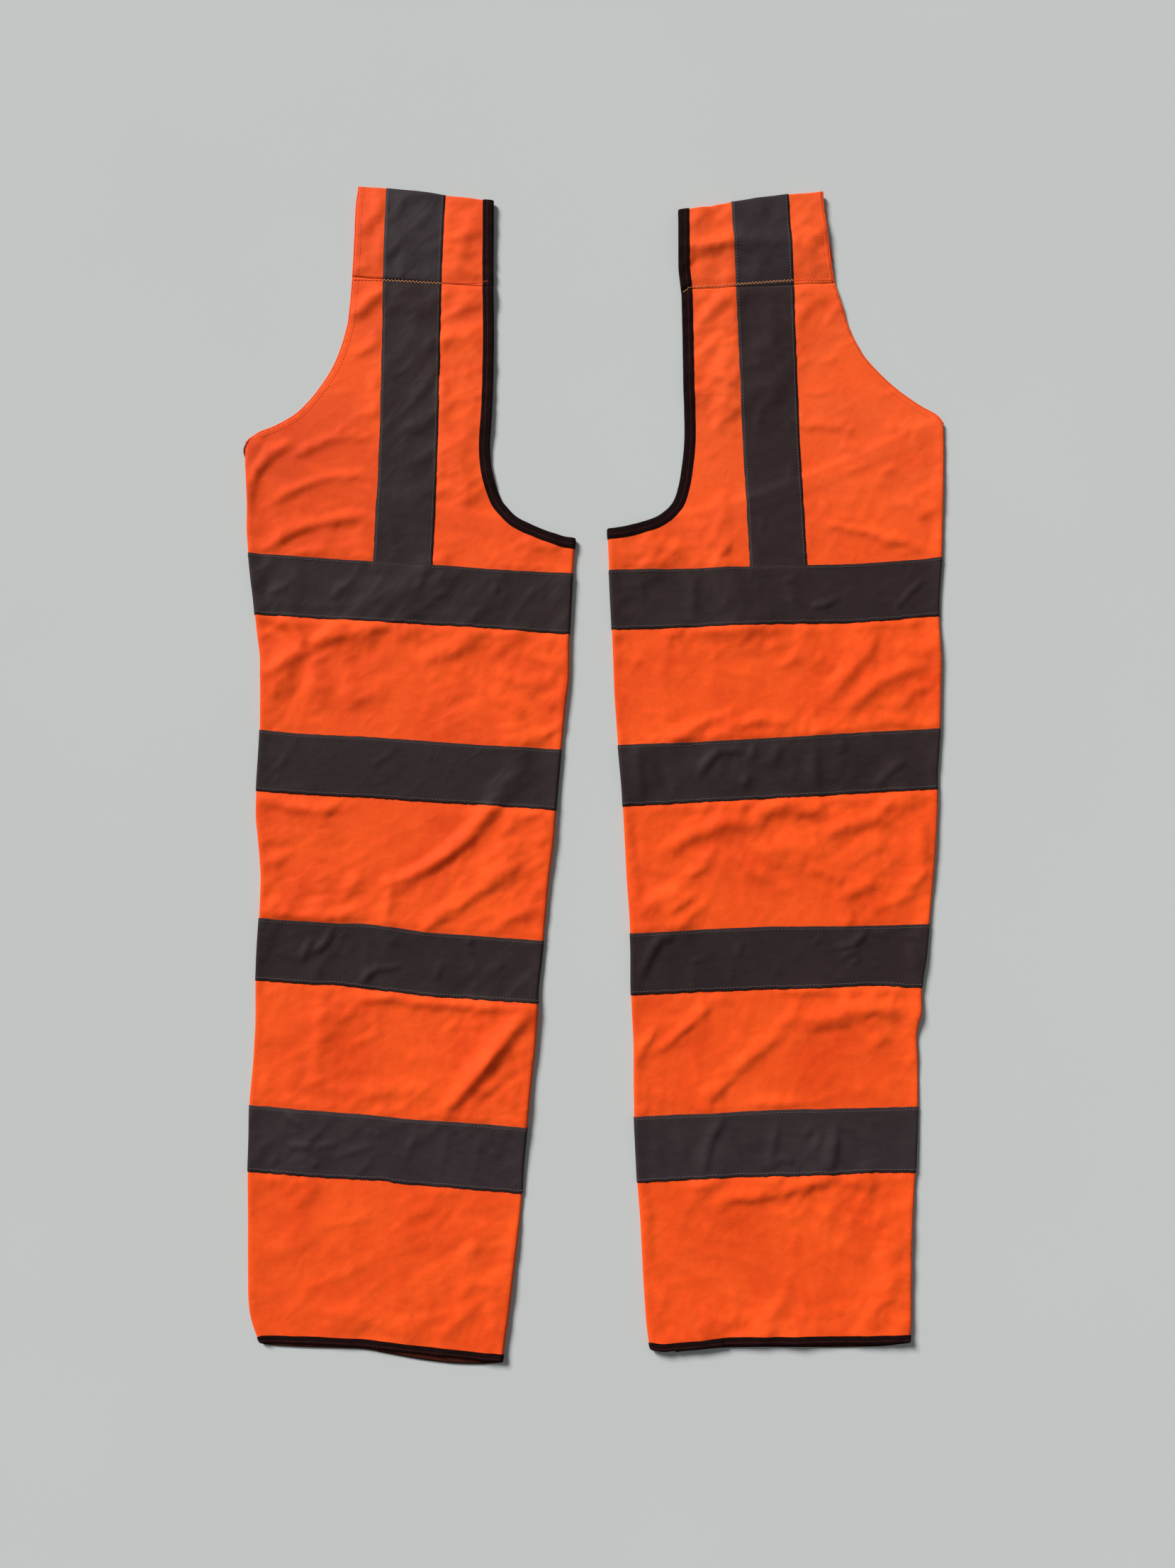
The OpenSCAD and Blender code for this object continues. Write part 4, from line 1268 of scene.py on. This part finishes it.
# painted shade: the curled hem corner is coloured dark red for the shade inside the curl
CURL_SHADE = cloth_material("hem_curl_shade", (0.24, 0.018, 0.006, 1), (0.15, 0.011, 0.004, 1),
                      sheen=0.05, painted_top_light=0.0)
BLACK = binding_material("black_binding", (0.0065, 0.0022, 0.0024, 1), (0.060, 0.012, 0.010, 1))
BROWN = binding_material("binding_inside", (0.040, 0.0085, 0.005, 1), (0.016, 0.004, 0.003, 1))
# The black thread belongs to the set of materials, though no piece carries it.
GREY_THREAD, TAN_THREAD, ORANGE_THREAD, _ = [thread_material(*entry) for entry in (
    ("grey_thread", (0.085, 0.066, 0.064, 1), (0.19, 0.155, 0.15, 1)),
    ("tan_thread", (0.52, 0.19, 0.06, 1), (0.70, 0.33, 0.12, 1)),
    ("orange_thread", (0.70, 0.06, 0.012, 1), (0.85, 0.10, 0.02, 1)),
    ("black_thread", (0.012, 0.006, 0.006, 1), (0.03, 0.015, 0.014, 1)))]


# ---------------------------------------------------------------- one leg's pieces
def attach(leg, piece, where, slot, *nodes):
    """Ties a piece to the body it rides; a piece that crosses a bend only has its transform baked
    in. Hides the CAD parts it stands for.
    """
    if isinstance(where, str):
        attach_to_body(piece, f"{leg.side}_{where}")
    else:
        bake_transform(piece)
    if nodes:
        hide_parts(*[f"{leg.side}_{node}" for node in nodes])


# Trim profiles round an edge: inset from the edge, height off the cloth's mid-surface.
BINDING_PROFILE = pairs("""8.6,.33 8.7,.6 8,.8 6,.95 4,1.02 2,.98 .5,.86 -.45,.55 -.75,0
    -.45,-.52 .5,-.68 2,-.72 5,-.72 8.2,-.66 8.4,-.5 8.3,-.33 5,-.32 2,-.32 .6,-.32 .12,-.2
    .1,0 .12,.2 .6,.32 2,.33 4,.33 6,.33""")
HEM_PROFILE = pairs(""".6,.31 .3,.4 -.25,.28 -.5,-.1 -.35,-.62 .5,-.9 3,-.93 6,-.93 8.8,-.9
    9,-.6 8.8,-.33 6,-.32 3,-.32 .6,-.31 .1,-.15 .1,.15""")
ANKLE_PROFILE = pairs("""4.9,.33 5,.58 4.5,.78 3.4,.92 2,.96 .5,.84 -.45,.55 -.72,0
    -.45,-.52 .5,-.7 2,-.76 5,-.76 8.4,-.7 8.7,-.5 8.5,-.33 5,-.32 2,-.32 .6,-.32 .12,-.2
    .1,0 .12,.2 .6,.32 2,.33 4,.33""")
OVERLAP_PROFILE = pairs("""5.4,.7 5.3,.98 3.4,1.22 .5,1.12 -.9,.74 -1.35,0 -1.1,-.35 -.8,0
    -.5,.6 .5,.9 2.6,.96 4.4,.84""")
BACK_PROFILE = pairs("""8.6,.33 8.5,.52 5,.6 2,.6 .5,.55 -.35,.4 -.6,0 -.35,-.45 .5,-.62
    2,-.66 5,-.66 8.2,-.6 8.3,-.33 5,-.32 2,-.32 .6,-.32 .12,-.2 .1,0 .12,.2 .6,.32 2,.33
    5,.33""")
BACK_HEM_PROFILE = pairs(""".6,.31 .2,.34 -.3,.2 -.5,-.1 -.35,-.55 .5,-.85 3,-.9 6,-.9
    8.8,-.86 9,-.6 8.8,-.33 6,-.32 3,-.32 .6,-.31 .1,-.15 .1,.15""")


def stations_round(inner, outer, low, high, steps, fold, gaps, last=None, end_gap=0):
    """Values of s right round the tube, from low to high.
    steps: pitch on the back and on the front. fold: points round each side fold and the
    radians they run past it. gaps: space left before and after the inner fold, then
    before and after the outer one. last: where each fold's list is cut."""
    count, over = fold
    return np.r_[
        np.arange(low, inner + ROLL - TURN - gaps[0], steps[0]),
        inner + ROLL - np.linspace(math.pi + over, -over, count)[:last] * ROLL,
        np.arange(inner + ROLL + gaps[1], outer - ROLL - gaps[2], steps[1]),
        outer - ROLL + np.linspace(-over, math.pi + over, count)[:last] * ROLL,
        np.arange(outer - ROLL + TURN + gaps[3], high - end_gap, steps[0]), high]


def loop_columns(leg):
    start, end = leg.loop_inner(SEAM_V), leg.loop_outer(SEAM_V)
    return np.linspace(start, end, int(round((end - start) / 2.6)) + 1)


def shell_outline(leg):
    """The wrapped panel's outline in (s, v), anticlockwise from the back seam's hem end."""
    hem_v, crotch_v, hip_v = leg.hem_seam_v(), leg.crotch_v, leg.hip_v
    hem_s = stations_round(leg.inner(0), leg.outer(0), leg.seam_s(hem_v, "inner"),
                           leg.seam_s(hem_v, "outer"), steps=(5, 2.8), fold=(6, 0),
                           gaps=(0, 0, 1, 0), last=-1, end_gap=2)
    hem = np.stack([hem_s, leg.hem(hem_s)], -1)
    seam_v = np.arange(hem[-1, 1] + 6, leg.seam_top_v - 3, 6)
    outer_seam = np.stack([leg.seam_s(seam_v, "outer"), seam_v], -1)
    inner_seam = np.stack([leg.seam_s(seam_v, "inner"), seam_v], -1)[::-1]
    back_u = leg.back[:, 0]
    inner_fold, outer_fold = leg.inner(crotch_v) + ROLL, leg.outer(hip_v) - ROLL
    out_part = leg.back[(back_u >= leg.seam_top_u) & (back_u < outer_fold - 1)]
    in_part = leg.back[(back_u <= leg.seam_top_u) & (back_u > inner_fold + 1)]
    top_out = np.stack([leg.back_s(*out_part.T, "outer"), out_part[:, 1]], -1)
    top_in = np.stack([leg.back_s(*in_part.T, "inner"), in_part[:, 1]], -1)
    # round each top corner: half the roll on the back, half on the front
    hip_corner = np.stack([outer_fold + np.array([.85, .65, .5, .35, .15]) * math.pi * ROLL,
                           hip_v - 1.0 * np.array([1, .4, 0, .2, .8])], -1)
    crotch_corner = np.stack([
        inner_fold - np.array([.15, .35, .5, .65, .85]) * math.pi * ROLL,
        crotch_v + np.array([.3, .15, 0, 0, .2])], -1)
    hip, crotch = leg.hip[::-1], leg.crotch[::-1]
    hip = hip[hip[:, 0] < outer_fold - 1.5]
    crotch = crotch[crotch[:, 0] > inner_fold + 1.2]
    top_u = loop_columns(leg)[::-1][1:-1]
    top_line = np.stack([top_u, np.full(len(top_u), SEAM_V)], -1)
    return np.vstack([hem, outer_seam, top_out, hip_corner, hip, top_line, crotch,
                      crotch_corner, top_in, inner_seam])


def shell_points(leg):
    """Points to fill the panel with: the front, the side folds, then the back."""
    points = []
    step = POINT_PITCH
    for k, v in enumerate(np.arange(-10, 880, step * HEX)):
        low, high = leg.inner(v) + ROLL + step * .45, leg.outer(v) - ROLL - step * .45
        s = np.arange(0, 320, step) + (step / 2 if k % 2 else 0)
        s = s[(s > low) & (s < high)]
        points.append(np.stack([s, np.full(len(s), v)], -1))
    for v in np.arange(-8, max(leg.hip_v, leg.crotch_v), 3.4):
        for part in (0, .25, .5, .75, 1.0):
            if v < leg.hip_v:
                points.append(np.array([[leg.outer(v) - ROLL + part * math.pi * ROLL, v]]))
            if v < leg.crotch_v:
                points.append(np.array([[leg.inner(v) + ROLL - part * math.pi * ROLL, v]]))
    for k, v in enumerate(np.arange(-8, 745, 5.6)):
        s = np.arange(-200, 520, 6.4) + (3.2 if k % 2 else 0)
        past_outer = (s > leg.outer(v) - ROLL + TURN + 2.5) & (s < leg.seam_s(v, "outer") - 2)
        past_inner = (s < leg.inner(v) + ROLL - TURN - 2.5) & (s > leg.seam_s(v, "inner") + 2)
        s = s[past_outer | past_inner]
        points.append(np.stack([s, np.full(len(s), v)], -1))
    return np.vstack(points)


def shell(leg):
    """The leg's cloth: one wrapped panel, from the back seam round the front to the
    back seam."""
    outline = shell_outline(leg)
    points = shell_points(leg)
    points = points[inside(outline, points) & (edge_dist(outline, points) > 1.35)]
    count = len(outline)
    vectors = [Vector((float(s), float(v))) for s, v in np.vstack([outline, points])]
    edges = [(i, (i + 1) % count) for i in range(count)]
    corners, _, faces = delaunay_2d_cdt(vectors, edges, [], 1, 1e-4, False)[:3]
    flat = np.array([(p.x, p.y) for p in corners])
    tris = np.array([list(face) for face in faces if len(face) == 3], int)
    a, b, c = flat[tris[:, 0]], flat[tris[:, 1]], flat[tris[:, 2]]
    area = ((b[:, 0] - a[:, 0]) * (c[:, 1] - a[:, 1])
            - (b[:, 1] - a[:, 1]) * (c[:, 0] - a[:, 0]))
    tris = np.where((area < 0)[:, None], tris[:, ::-1], tris)[np.abs(area) > 0.03]
    tris = tris[inside(outline, flat[tris].mean(1))]
    s, v = flat[:, 0], flat[:, 1]
    verts, faces, uv = thicken(leg.tube(s, v), leg.normal(s, v), tris, CLOTH, flat)
    piece = build(f"{leg.side}_leg_cloth", leg.side, verts, faces, uv, [ORANGE[leg.side]])
    attach(leg, piece, KNEE_BEND, "shell_cloth", "thigh_panel", "shin_panel")


# --- belt loop
def loop_rows(length, tail):
    """Values of q up the loop, over its fold and down to tail mm past the seam."""
    return np.r_[np.arange(0, length - 1, 2.6), length + np.linspace(0, LOOP_TURN, 9),
                 np.arange(length + LOOP_TURN + 3, 2 * length + LOOP_TURN + tail, 3.2)]


def loop_heights(q, length):
    """The v of each q, held at the fold while it turns."""
    down = np.clip(length - (q - length - LOOP_TURN), 0, length)
    return SEAM_V + np.where(q <= length, q, down)


def loop_grid(leg, inner, outer, cols, tail):
    """Grid over the loop between two edges given as functions of height."""
    length = leg.loop_len(LOOP_U)
    q = loop_rows(length, tail)[:, None]
    v = loop_heights(q, length)
    u = inner(v) + (outer(v) - inner(v)) * np.linspace(0, 1, cols)
    # each column keeps its own fold height, and the tail's end runs level with the seam
    own = leg.loop_len(u)
    tail_q = own + LOOP_TURN + (q - length - LOOP_TURN) * (own + tail) / (length + tail)
    return u, np.where(q <= length, q * own / length,
                       np.where(q <= length + LOOP_TURN, own + (q - length), tail_q))


def belt_loop(leg):
    side = leg.side
    s, q = loop_grid(leg, leg.loop_inner, leg.loop_outer, len(loop_columns(leg)), 5.0)
    piece = patch(leg, leg.loop, s, q, CLOTH, 0.0, f"{side}_loop_cloth", ORANGE[side],
                  uv_rise=SEAM_V)
    attach(leg, piece, LOOP_BEND, "shell_cloth", "belt_loop")
    # the upright tape over the loop
    s, q = loop_grid(leg, leg.tape_inner, leg.tape_outer, 22, 3.0)
    piece = patch(leg, leg.loop, s, q, TAPE_THICK, (CLOTH + TAPE_THICK) / 2 + 0.03,
                  f"{side}_loop_tape_strip", TAPE[side])
    attach(leg, piece, LOOP_BEND, "reflective_tape", "loop_tape")
    # binding down both faces of the inner edge, turned hem down the outer one
    length = leg.loop_len(95.0)
    q = loop_rows(length, -1)
    v = loop_heights(q, length)
    piece = sweep(leg, leg.loop, np.stack([leg.loop_inner(v), q], -1), BINDING_PROFILE,
                  f"{side}_loop_edge_binding", [BLACK], flip=True)
    attach(leg, piece, LOOP_BEND, "binding", "loop_binding")
    piece = sweep(leg, leg.loop, np.stack([leg.loop_outer(v), q], -1), HEM_PROFILE,
                  f"{side}_loop_edge_hem", [ORANGE_EDGE])
    attach(leg, piece, LOOP_BEND, "shell_cloth", "loop_hem")
    # lockstitch rows on the loop
    keep = (q > 1.0) & (q < 2 * length + LOOP_TURN - 2)
    rows = []
    for k, (edge, inset) in enumerate(((leg.tape_inner, 2.2), (leg.tape_outer, -2.2))):
        path = np.stack([edge(v) + inset, q], -1)[keep]
        rows.append(stitches(leg, leg.loop, path, "row", GREY_THREAD,
                             lift=CLOTH / 2 + TAPE_THICK + 0.07, seed=300 + k))
    attach(leg, join(f"{side}_loop_tape_thread", rows), LOOP_BEND, "tape_thread")
    piece = stitches(leg, leg.loop, np.stack([leg.loop_outer(v) - 5.2, q], -1)[1:],
                     f"{side}_loop_hem_thread", ORANGE_THREAD, lift=CLOTH / 2 + 0.05,
                     radius=0.17, seed=310)
    attach(leg, piece, LOOP_BEND, "seam_thread")


def loop_zigzag(leg):
    """The zigzag row that closes the loop, in three threads."""
    side = leg.side
    inner, outer = leg.tape_inner(SEAM_V), leg.tape_outer(SEAM_V)
    path = catmull(leg.zigzag, 1.55)
    swing = 0.55 + 0.4 * between(path[:, 0], inner, outer, 2, 0)
    path[:, 1] += np.where(np.arange(len(path)) % 2 == 0, swing, -swing)
    u, v = resample(path, 0.5).T
    points = np.where((v > SEAM_V)[..., None], leg.loop(u, v - SEAM_V), leg.tube(u, v))
    normals = leg.normal(u, np.minimum(v, SEAM_V - 1.0))
    on_tape = between(u, inner, outer, .8, .4)
    bound = leg.loop_inner(SEAM_V)
    on_binding = smoothstep(bound + 9.5, bound + 8.3, u)
    lift = CLOTH / 2 + 0.2 + TAPE_THICK * on_tape + 0.55 * on_binding
    points = points + normals * lift[:, None]
    inner_thread = TAN_THREAD if side == "right" else ORANGE_THREAD
    for name, low, high, thread, radius, nodes in (
            ("inner", -1e9, inner, inner_thread, 0.21, []),
            ("tape", inner - .3, outer + .3, TAN_THREAD, 0.27, ["loop_zigzag"]),
            ("outer", outer, 1e9, ORANGE_THREAD, 0.21, [])):
        piece = cord(leg, points[(u >= low) & (u <= high)], f"{side}_zigzag_{name}",
                     thread, radius)
        attach(leg, piece, LOOP_BEND, "seam_thread", *nodes)


# --- tapes
# name, body, and the extra CAD node its stitching stands for; from the top band down
BANDS = [("thigh_band_1", "thigh", ["thigh_stitching"]), ("thigh_band_2", "thigh", []),
         ("shin_band_1", "shin", ["shin_stitching"]), ("shin_band_2", "shin", [])]


def band_piece(leg, index):
    """One band right round the tube, with its two rows of stitches."""
    name, body, thread_nodes = BANDS[index]
    top, bottom = leg.bands[index]
    mid_v = float(top(120) + bottom(120)) / 2
    low = float(leg.seam_s(mid_v, "inner")) + .1
    high = float(leg.seam_s(mid_v, "outer")) - .1
    inner, outer = float(leg.inner(mid_v)), float(leg.outer(mid_v))
    s = stations_round(inner, outer, low, high, steps=(5, 1.9), fold=(9, .6),
                       gaps=(3, 2.4, 2.2, 4))
    u = leg.tube(s, np.full(len(s), mid_v))[:, 0]

    def edge(line):
        """On the back the edges run straight from one fold to the other."""
        start, end = float(line(inner)), float(line(outer))
        straight = start + (end - start) * (u - inner) / (outer - inner)
        return np.where((s > inner) & (s < outer), line(u), straight)

    # 0 on the front, rising to 1 at the back seam
    to_seam = np.clip(np.where(s < 120, (inner - s) / (inner - low),
                               (s - outer) / (high - outer)), 0, 1)

    def drift(v, part=slice(None)):
        """How far the side folds and the back seam shift with height."""
        at, back = s[part], to_seam[part]
        shift_in, shift_out = leg.inner(v) - inner, leg.outer(v) - outer
        return np.where(
            at < 120,
            shift_in * smoothstep(60, 0, at - inner) + back * .5 * (shift_in - shift_out),
            shift_out * smoothstep(60, 0, outer - at) + back * .5 * (shift_out - shift_in))

    top_edge = edge(top) + 0.16 * fbm(s / 6, s * 0, 600 + index, 2)
    bottom_edge = edge(bottom) + 0.30 * fbm(s / 4, s * 0, 620 + index, 3)
    grid_v = bottom_edge + (top_edge - bottom_edge) * np.linspace(0, 1, 26)[:, None]
    grid_s = s + drift(grid_v)
    lift = np.full(grid_s.shape, (CLOTH + TAPE_THICK) / 2 + 0.02)
    if index == 0:      # over the upright tape's end
        grid_u = leg.tube(grid_s, grid_v)[..., 0]
        lift += (0.42 * between(grid_u, leg.tape_inner(630), leg.tape_outer(630), 2, 1)
                 * smoothstep(top_edge - 11, top_edge - 7, grid_v)
                 * ((grid_s > 20) & (grid_s < 250)))
    piece = patch(leg, leg.tube, grid_s, grid_v, TAPE_THICK, lift,
                  f"{leg.side}_{name}_tape", TAPE[leg.side])
    attach(leg, piece, body, "reflective_tape", name)
    rows = []
    for k, (line, inset, radius) in enumerate(((top_edge, -2.4, .16), (bottom_edge, 2.6, .19))):
        path = np.stack([s, line + inset], -1)[2:-2]
        path[:, 0] += drift(path[:, 1], slice(2, -2))
        over_end = 0.2 if index == 0 and k == 0 else 0
        rows.append(stitches(leg, leg.tube, path, "row", GREY_THREAD, radius=radius,
                             lift=CLOTH / 2 + TAPE_THICK + 0.06 + over_end,
                             seed=40 + 2 * index + k))
    attach(leg, join(f"{leg.side}_{name}_thread", rows), body, "tape_thread", *thread_nodes)


def upright(leg):
    """The upright tape, from under the top band to the loop's seam."""
    side = leg.side
    start = float(leg.bands[0][0](140)) - 8
    v = np.r_[np.arange(start, SEAM_V - 1, 2.6), SEAM_V][:, None]
    t = np.linspace(0, 1, 24)
    s = leg.tape_inner(v) + (leg.tape_outer(v) - leg.tape_inner(v)) * t
    s = s + 0.22 * fbm(v / 6, v * 0, 71, 2) * (1 - 2 * t)
    piece = patch(leg, leg.tube, s, np.repeat(v, len(t), 1), TAPE_THICK,
                  (CLOTH + TAPE_THICK) / 2 + 0.02, f"{side}_upright_tape", TAPE[side])
    attach(leg, piece, "thigh", "reflective_tape", "thigh_tape")
    rows = []
    v = np.arange(start + 8, SEAM_V - 2.5, 4)
    for k, (edge, inset) in enumerate(((leg.tape_inner, 2.2), (leg.tape_outer, -2.2))):
        rows.append(stitches(leg, leg.tube, np.stack([edge(v) + inset, v], -1), "row",
                             GREY_THREAD, lift=CLOTH / 2 + TAPE_THICK + 0.06,
                             radius=0.17, seed=80 + k))
    attach(leg, join(f"{side}_upright_thread", rows), "thigh", "tape_thread")


# --- bound and hemmed edges
FINE_STEP, EDGE_STEP = 0.45, 2.4      # along an edge: round a fold, and elsewhere
FINE_COUNT = 20                       # points at the fine step


def crotch_binding(leg):
    """From inside the back corner, round the fold, up the strap."""
    fold = leg.inner(leg.crotch_v) + ROLL
    curve = leg.crotch[leg.crotch[:, 0] > fold + 1.0]
    wrap = np.stack([fold - np.linspace(1.0, 0.1, 6) * math.pi * ROLL,
                     np.full(6, leg.crotch_v)], -1)
    full = resample(np.vstack([wrap, curve]), FINE_STEP)
    path = np.vstack([full[:FINE_COUNT], resample(full[FINE_COUNT:], EDGE_STEP)])
    path[-1] = [leg.crotch[-1][0], SEAM_V]
    piece = sweep(leg, leg.tube, path, BINDING_PROFILE, f"{leg.side}_crotch_edge_binding",
                  [BLACK], flip=True)
    attach(leg, piece, "thigh", "binding", "crotch_binding")


def hip_hem(leg):
    """Turned hem: down the strap's outer edge, along the hip curve, round the corner."""
    fold = leg.outer(leg.hip_v) - ROLL
    curve = leg.hip[leg.hip[:, 0] < fold - 1.0]
    wrap = np.stack([fold + np.linspace(0.1, 1.0, 6) * math.pi * ROLL,
                     np.full(6, leg.hip_v)], -1)
    full = resample(np.vstack([curve, wrap]), FINE_STEP)
    path = np.vstack([resample(full[:-FINE_COUNT], EDGE_STEP), full[-FINE_COUNT:]])
    path[0] = [leg.hip[0][0], SEAM_V]
    piece = sweep(leg, leg.tube, path, HEM_PROFILE, f"{leg.side}_hip_edge_hem",
                  [ORANGE_EDGE], flip=True)
    attach(leg, piece, "thigh", "shell_cloth", "hip_hem")
    row = path - outward(path, True) * 5.2
    keep = (row[:, 1] < SEAM_V - 2) & (path[:, 0] < fold - 6)
    piece = stitches(leg, leg.tube, row[keep], f"{leg.side}_hip_thread", ORANGE_THREAD,
                     lift=CLOTH / 2 + 0.04, radius=0.18, seed=90)
    attach(leg, piece, "thigh", "seam_thread")


def hip_corner_curl(leg):
    """The turned hem curls out where it rounds the left hip corner."""
    points = catmull([(278.5, 725.5, 2.6), (282.3, 722.6, 3.0), (284.9, 718.8, 3.1),
                      (285.6, 714.6, 2.9), (284.9, 710.8, 2.5), (283.6, 708.0, 2.1)], 0.5)
    swell = np.sin(math.pi * np.linspace(0, 1, len(points))) ** 0.8
    # the curl's colour is painted shade
    piece = cord(leg, points, "left_hip_corner_curl", CURL_SHADE, (0.3 + 0.95 * swell)[:, None], 10)
    attach(leg, piece, "thigh", "shell_cloth")


def back_edge(leg):
    """The back ply's top edge: bound on the inner half, hemmed on the outer."""
    u = leg.back[:, 0]
    bound = (u < leg.seam_top_u + 4) & (u > leg.inner(leg.crotch_v) + ROLL + 4)
    hemmed = (u > leg.seam_top_u - 1) & (u < leg.outer(leg.hip_v) - ROLL - 4)
    for part, side, profile, trim, mat, slot in (
            (bound, "inner", BACK_PROFILE, "binding", BLACK, "binding"),
            (hemmed, "outer", BACK_HEM_PROFILE, "hem", ORANGE_EDGE, "shell_cloth")):
        edge = leg.back[part]
        path = np.stack([leg.back_s(*edge.T, side), edge[:, 1]], -1)
        piece = sweep(leg, leg.tube, path, profile, f"{leg.side}_back_edge_{trim}", [mat])
        attach(leg, piece, "thigh", slot, f"back_{trim}")


def ankle_end_s(leg):
    """The s where the ankle binding ends, just past the back seam."""
    return float(leg.seam_s(leg.hem_seam_v(), "outer")) + 0.2


def ankle_binding(leg):
    """Binding all round the hem, brown inside."""
    low = float(leg.seam_s(leg.hem_seam_v(), "inner")) - 3.4
    s = stations_round(float(leg.inner(0.0)), float(leg.outer(0.0)), low, ankle_end_s(leg),
                       steps=(4, 2.4), fold=(11, .4), gaps=(2, 2.5, 2, 3))
    brown = [int(9 <= k <= 13) for k in range(len(ANKLE_PROFILE))]
    piece = sweep(leg, leg.tube, np.stack([s, leg.hem(s)], -1), ANKLE_PROFILE,
                  f"{leg.side}_ankle_edge_binding", [BLACK, BROWN], split=brown)
    attach(leg, piece, "shin", "binding", "ankle_binding")


def ankle_overlap(leg):
    """The right binding's ends overlap near the inner edge."""
    u = np.arange(20, 60, 2.4)
    piece = sweep(leg, leg.tube, np.stack([u, leg.hem(u) - 0.4], -1), OVERLAP_PROFILE,
                  "right_ankle_binding_overlap", [BLACK])
    attach(leg, piece, "shin", "binding")


def back_seam(leg):
    """A felled strip down the outside of the back ply."""
    start = float(leg.hem(np.array([ankle_end_s(leg)]))[0]) + 8.5
    v = np.arange(start, float(leg.seam_top_v) - 1.5, 4.0)[:, None]
    across = np.array([-4.2, -3.6, -1.5, 1.5, 3.6, 4.2])
    lift = np.array([0.22, 0.34, 0.38, 0.38, 0.34, 0.22]) + 0.08
    piece = patch(leg, leg.tube, leg.seam_s(v, "outer") + across,
                  np.repeat(v, len(across), 1), 0.16, lift,
                  f"{leg.side}_back_seam_strip", ORANGE_EDGE)
    attach(leg, piece, KNEE_BEND, "shell_cloth", "thigh_back_seam", "shin_back_seam")


legs = [Leg("left"), Leg("right")]
settle(legs)
for leg in legs:
    shell(leg)
    belt_loop(leg)
    loop_zigzag(leg)
    for i in range(len(BANDS)):
        band_piece(leg, i)
    upright(leg)
    crotch_binding(leg)
    hip_hem(leg)
    if leg.side == "left":
        hip_corner_curl(leg)
    back_edge(leg)
    ankle_binding(leg)
    if leg.side == "right":
        ankle_overlap(leg)
    back_seam(leg)


# ---------------------------------------------------------------- stage, light, camera
def stage():
    count, half = 30, 15.0      # points each way, half the side in metres
    line = np.linspace(-half, half, count)
    mesh = bpy.data.meshes.new("floor")
    mesh.from_pydata([(x, y, -0.0001) for y in line for x in line], [],
                     grid_faces(count, count).tolist())
    floor = bpy.data.objects.new("floor", mesh)
    bpy.context.scene.collection.objects.link(floor)
    m = Mat("floor_paper")
    mottle = m.noise(m.node("TexCoord").outputs["Object"], 3.0, 3)
    color = m.ramp(mottle, (0.3, srgb(193, 197, 196)), (0.7, srgb(194.5, 198.5, 197.5)))
    mesh.materials.append(m.set(Base_Color=color, Roughness=0.9, Specular_IOR_Level=0.1))


def light():
    """One broad, far light, so that the floor is lit evenly, and a dim world."""
    elevation = math.radians(33)
    level = math.cos(elevation) / 0.905      # 0.905 is about the length of (0.62, -0.66)
    sun = bpy.data.lights.new("key", "SUN")
    sun.angle = math.radians(20)
    sun.energy = 2.55 / math.sin(elevation)
    sun.color = (1.0, 0.99, 0.975)
    key = bpy.data.objects.new("key", sun)
    bpy.context.scene.collection.objects.link(key)
    shine = Vector((0.62 * level, -0.66 * level, -math.sin(elevation)))
    key.rotation_euler = shine.to_track_quat("-Z", "Y").to_euler()
    world = bpy.data.worlds.new("studio")
    bpy.context.scene.world = world
    world.use_nodes = True
    background = world.node_tree.nodes["Background"]
    background.inputs["Color"].default_value = (0.98, 0.99, 1.0, 1)
    background.inputs["Strength"].default_value = 0.186


def look():
    """The camera looks down on the pair, tilted a little from the ankle end."""
    tilt, roll, distance = math.radians(6.1), math.radians(1.055), 0.9708
    lens = bpy.data.cameras.new("camera")
    lens.sensor_fit = "AUTO"
    lens.sensor_width = 36
    lens.lens = 27.01627486
    lens.clip_end = 50
    camera = bpy.data.objects.new("camera", lens)
    bpy.context.scene.collection.objects.link(camera)
    right, up = Vector((1, 0, 0)), Vector((0, math.cos(tilt), math.sin(tilt)))
    back = Vector((0, -math.sin(tilt), math.cos(tilt)))
    pose = Matrix((right, up, back)).transposed().to_4x4()
    pose.translation = back * distance
    target = Matrix.Translation((0.000155, -0.03193, 0))
    camera.matrix_world = target @ Matrix.Rotation(roll, 4, "Z") @ pose
    scene = bpy.context.scene
    scene.camera = camera
    scene.view_settings.view_transform = "Standard"
    scene.view_settings.look = "None"


stage()
light()
look()
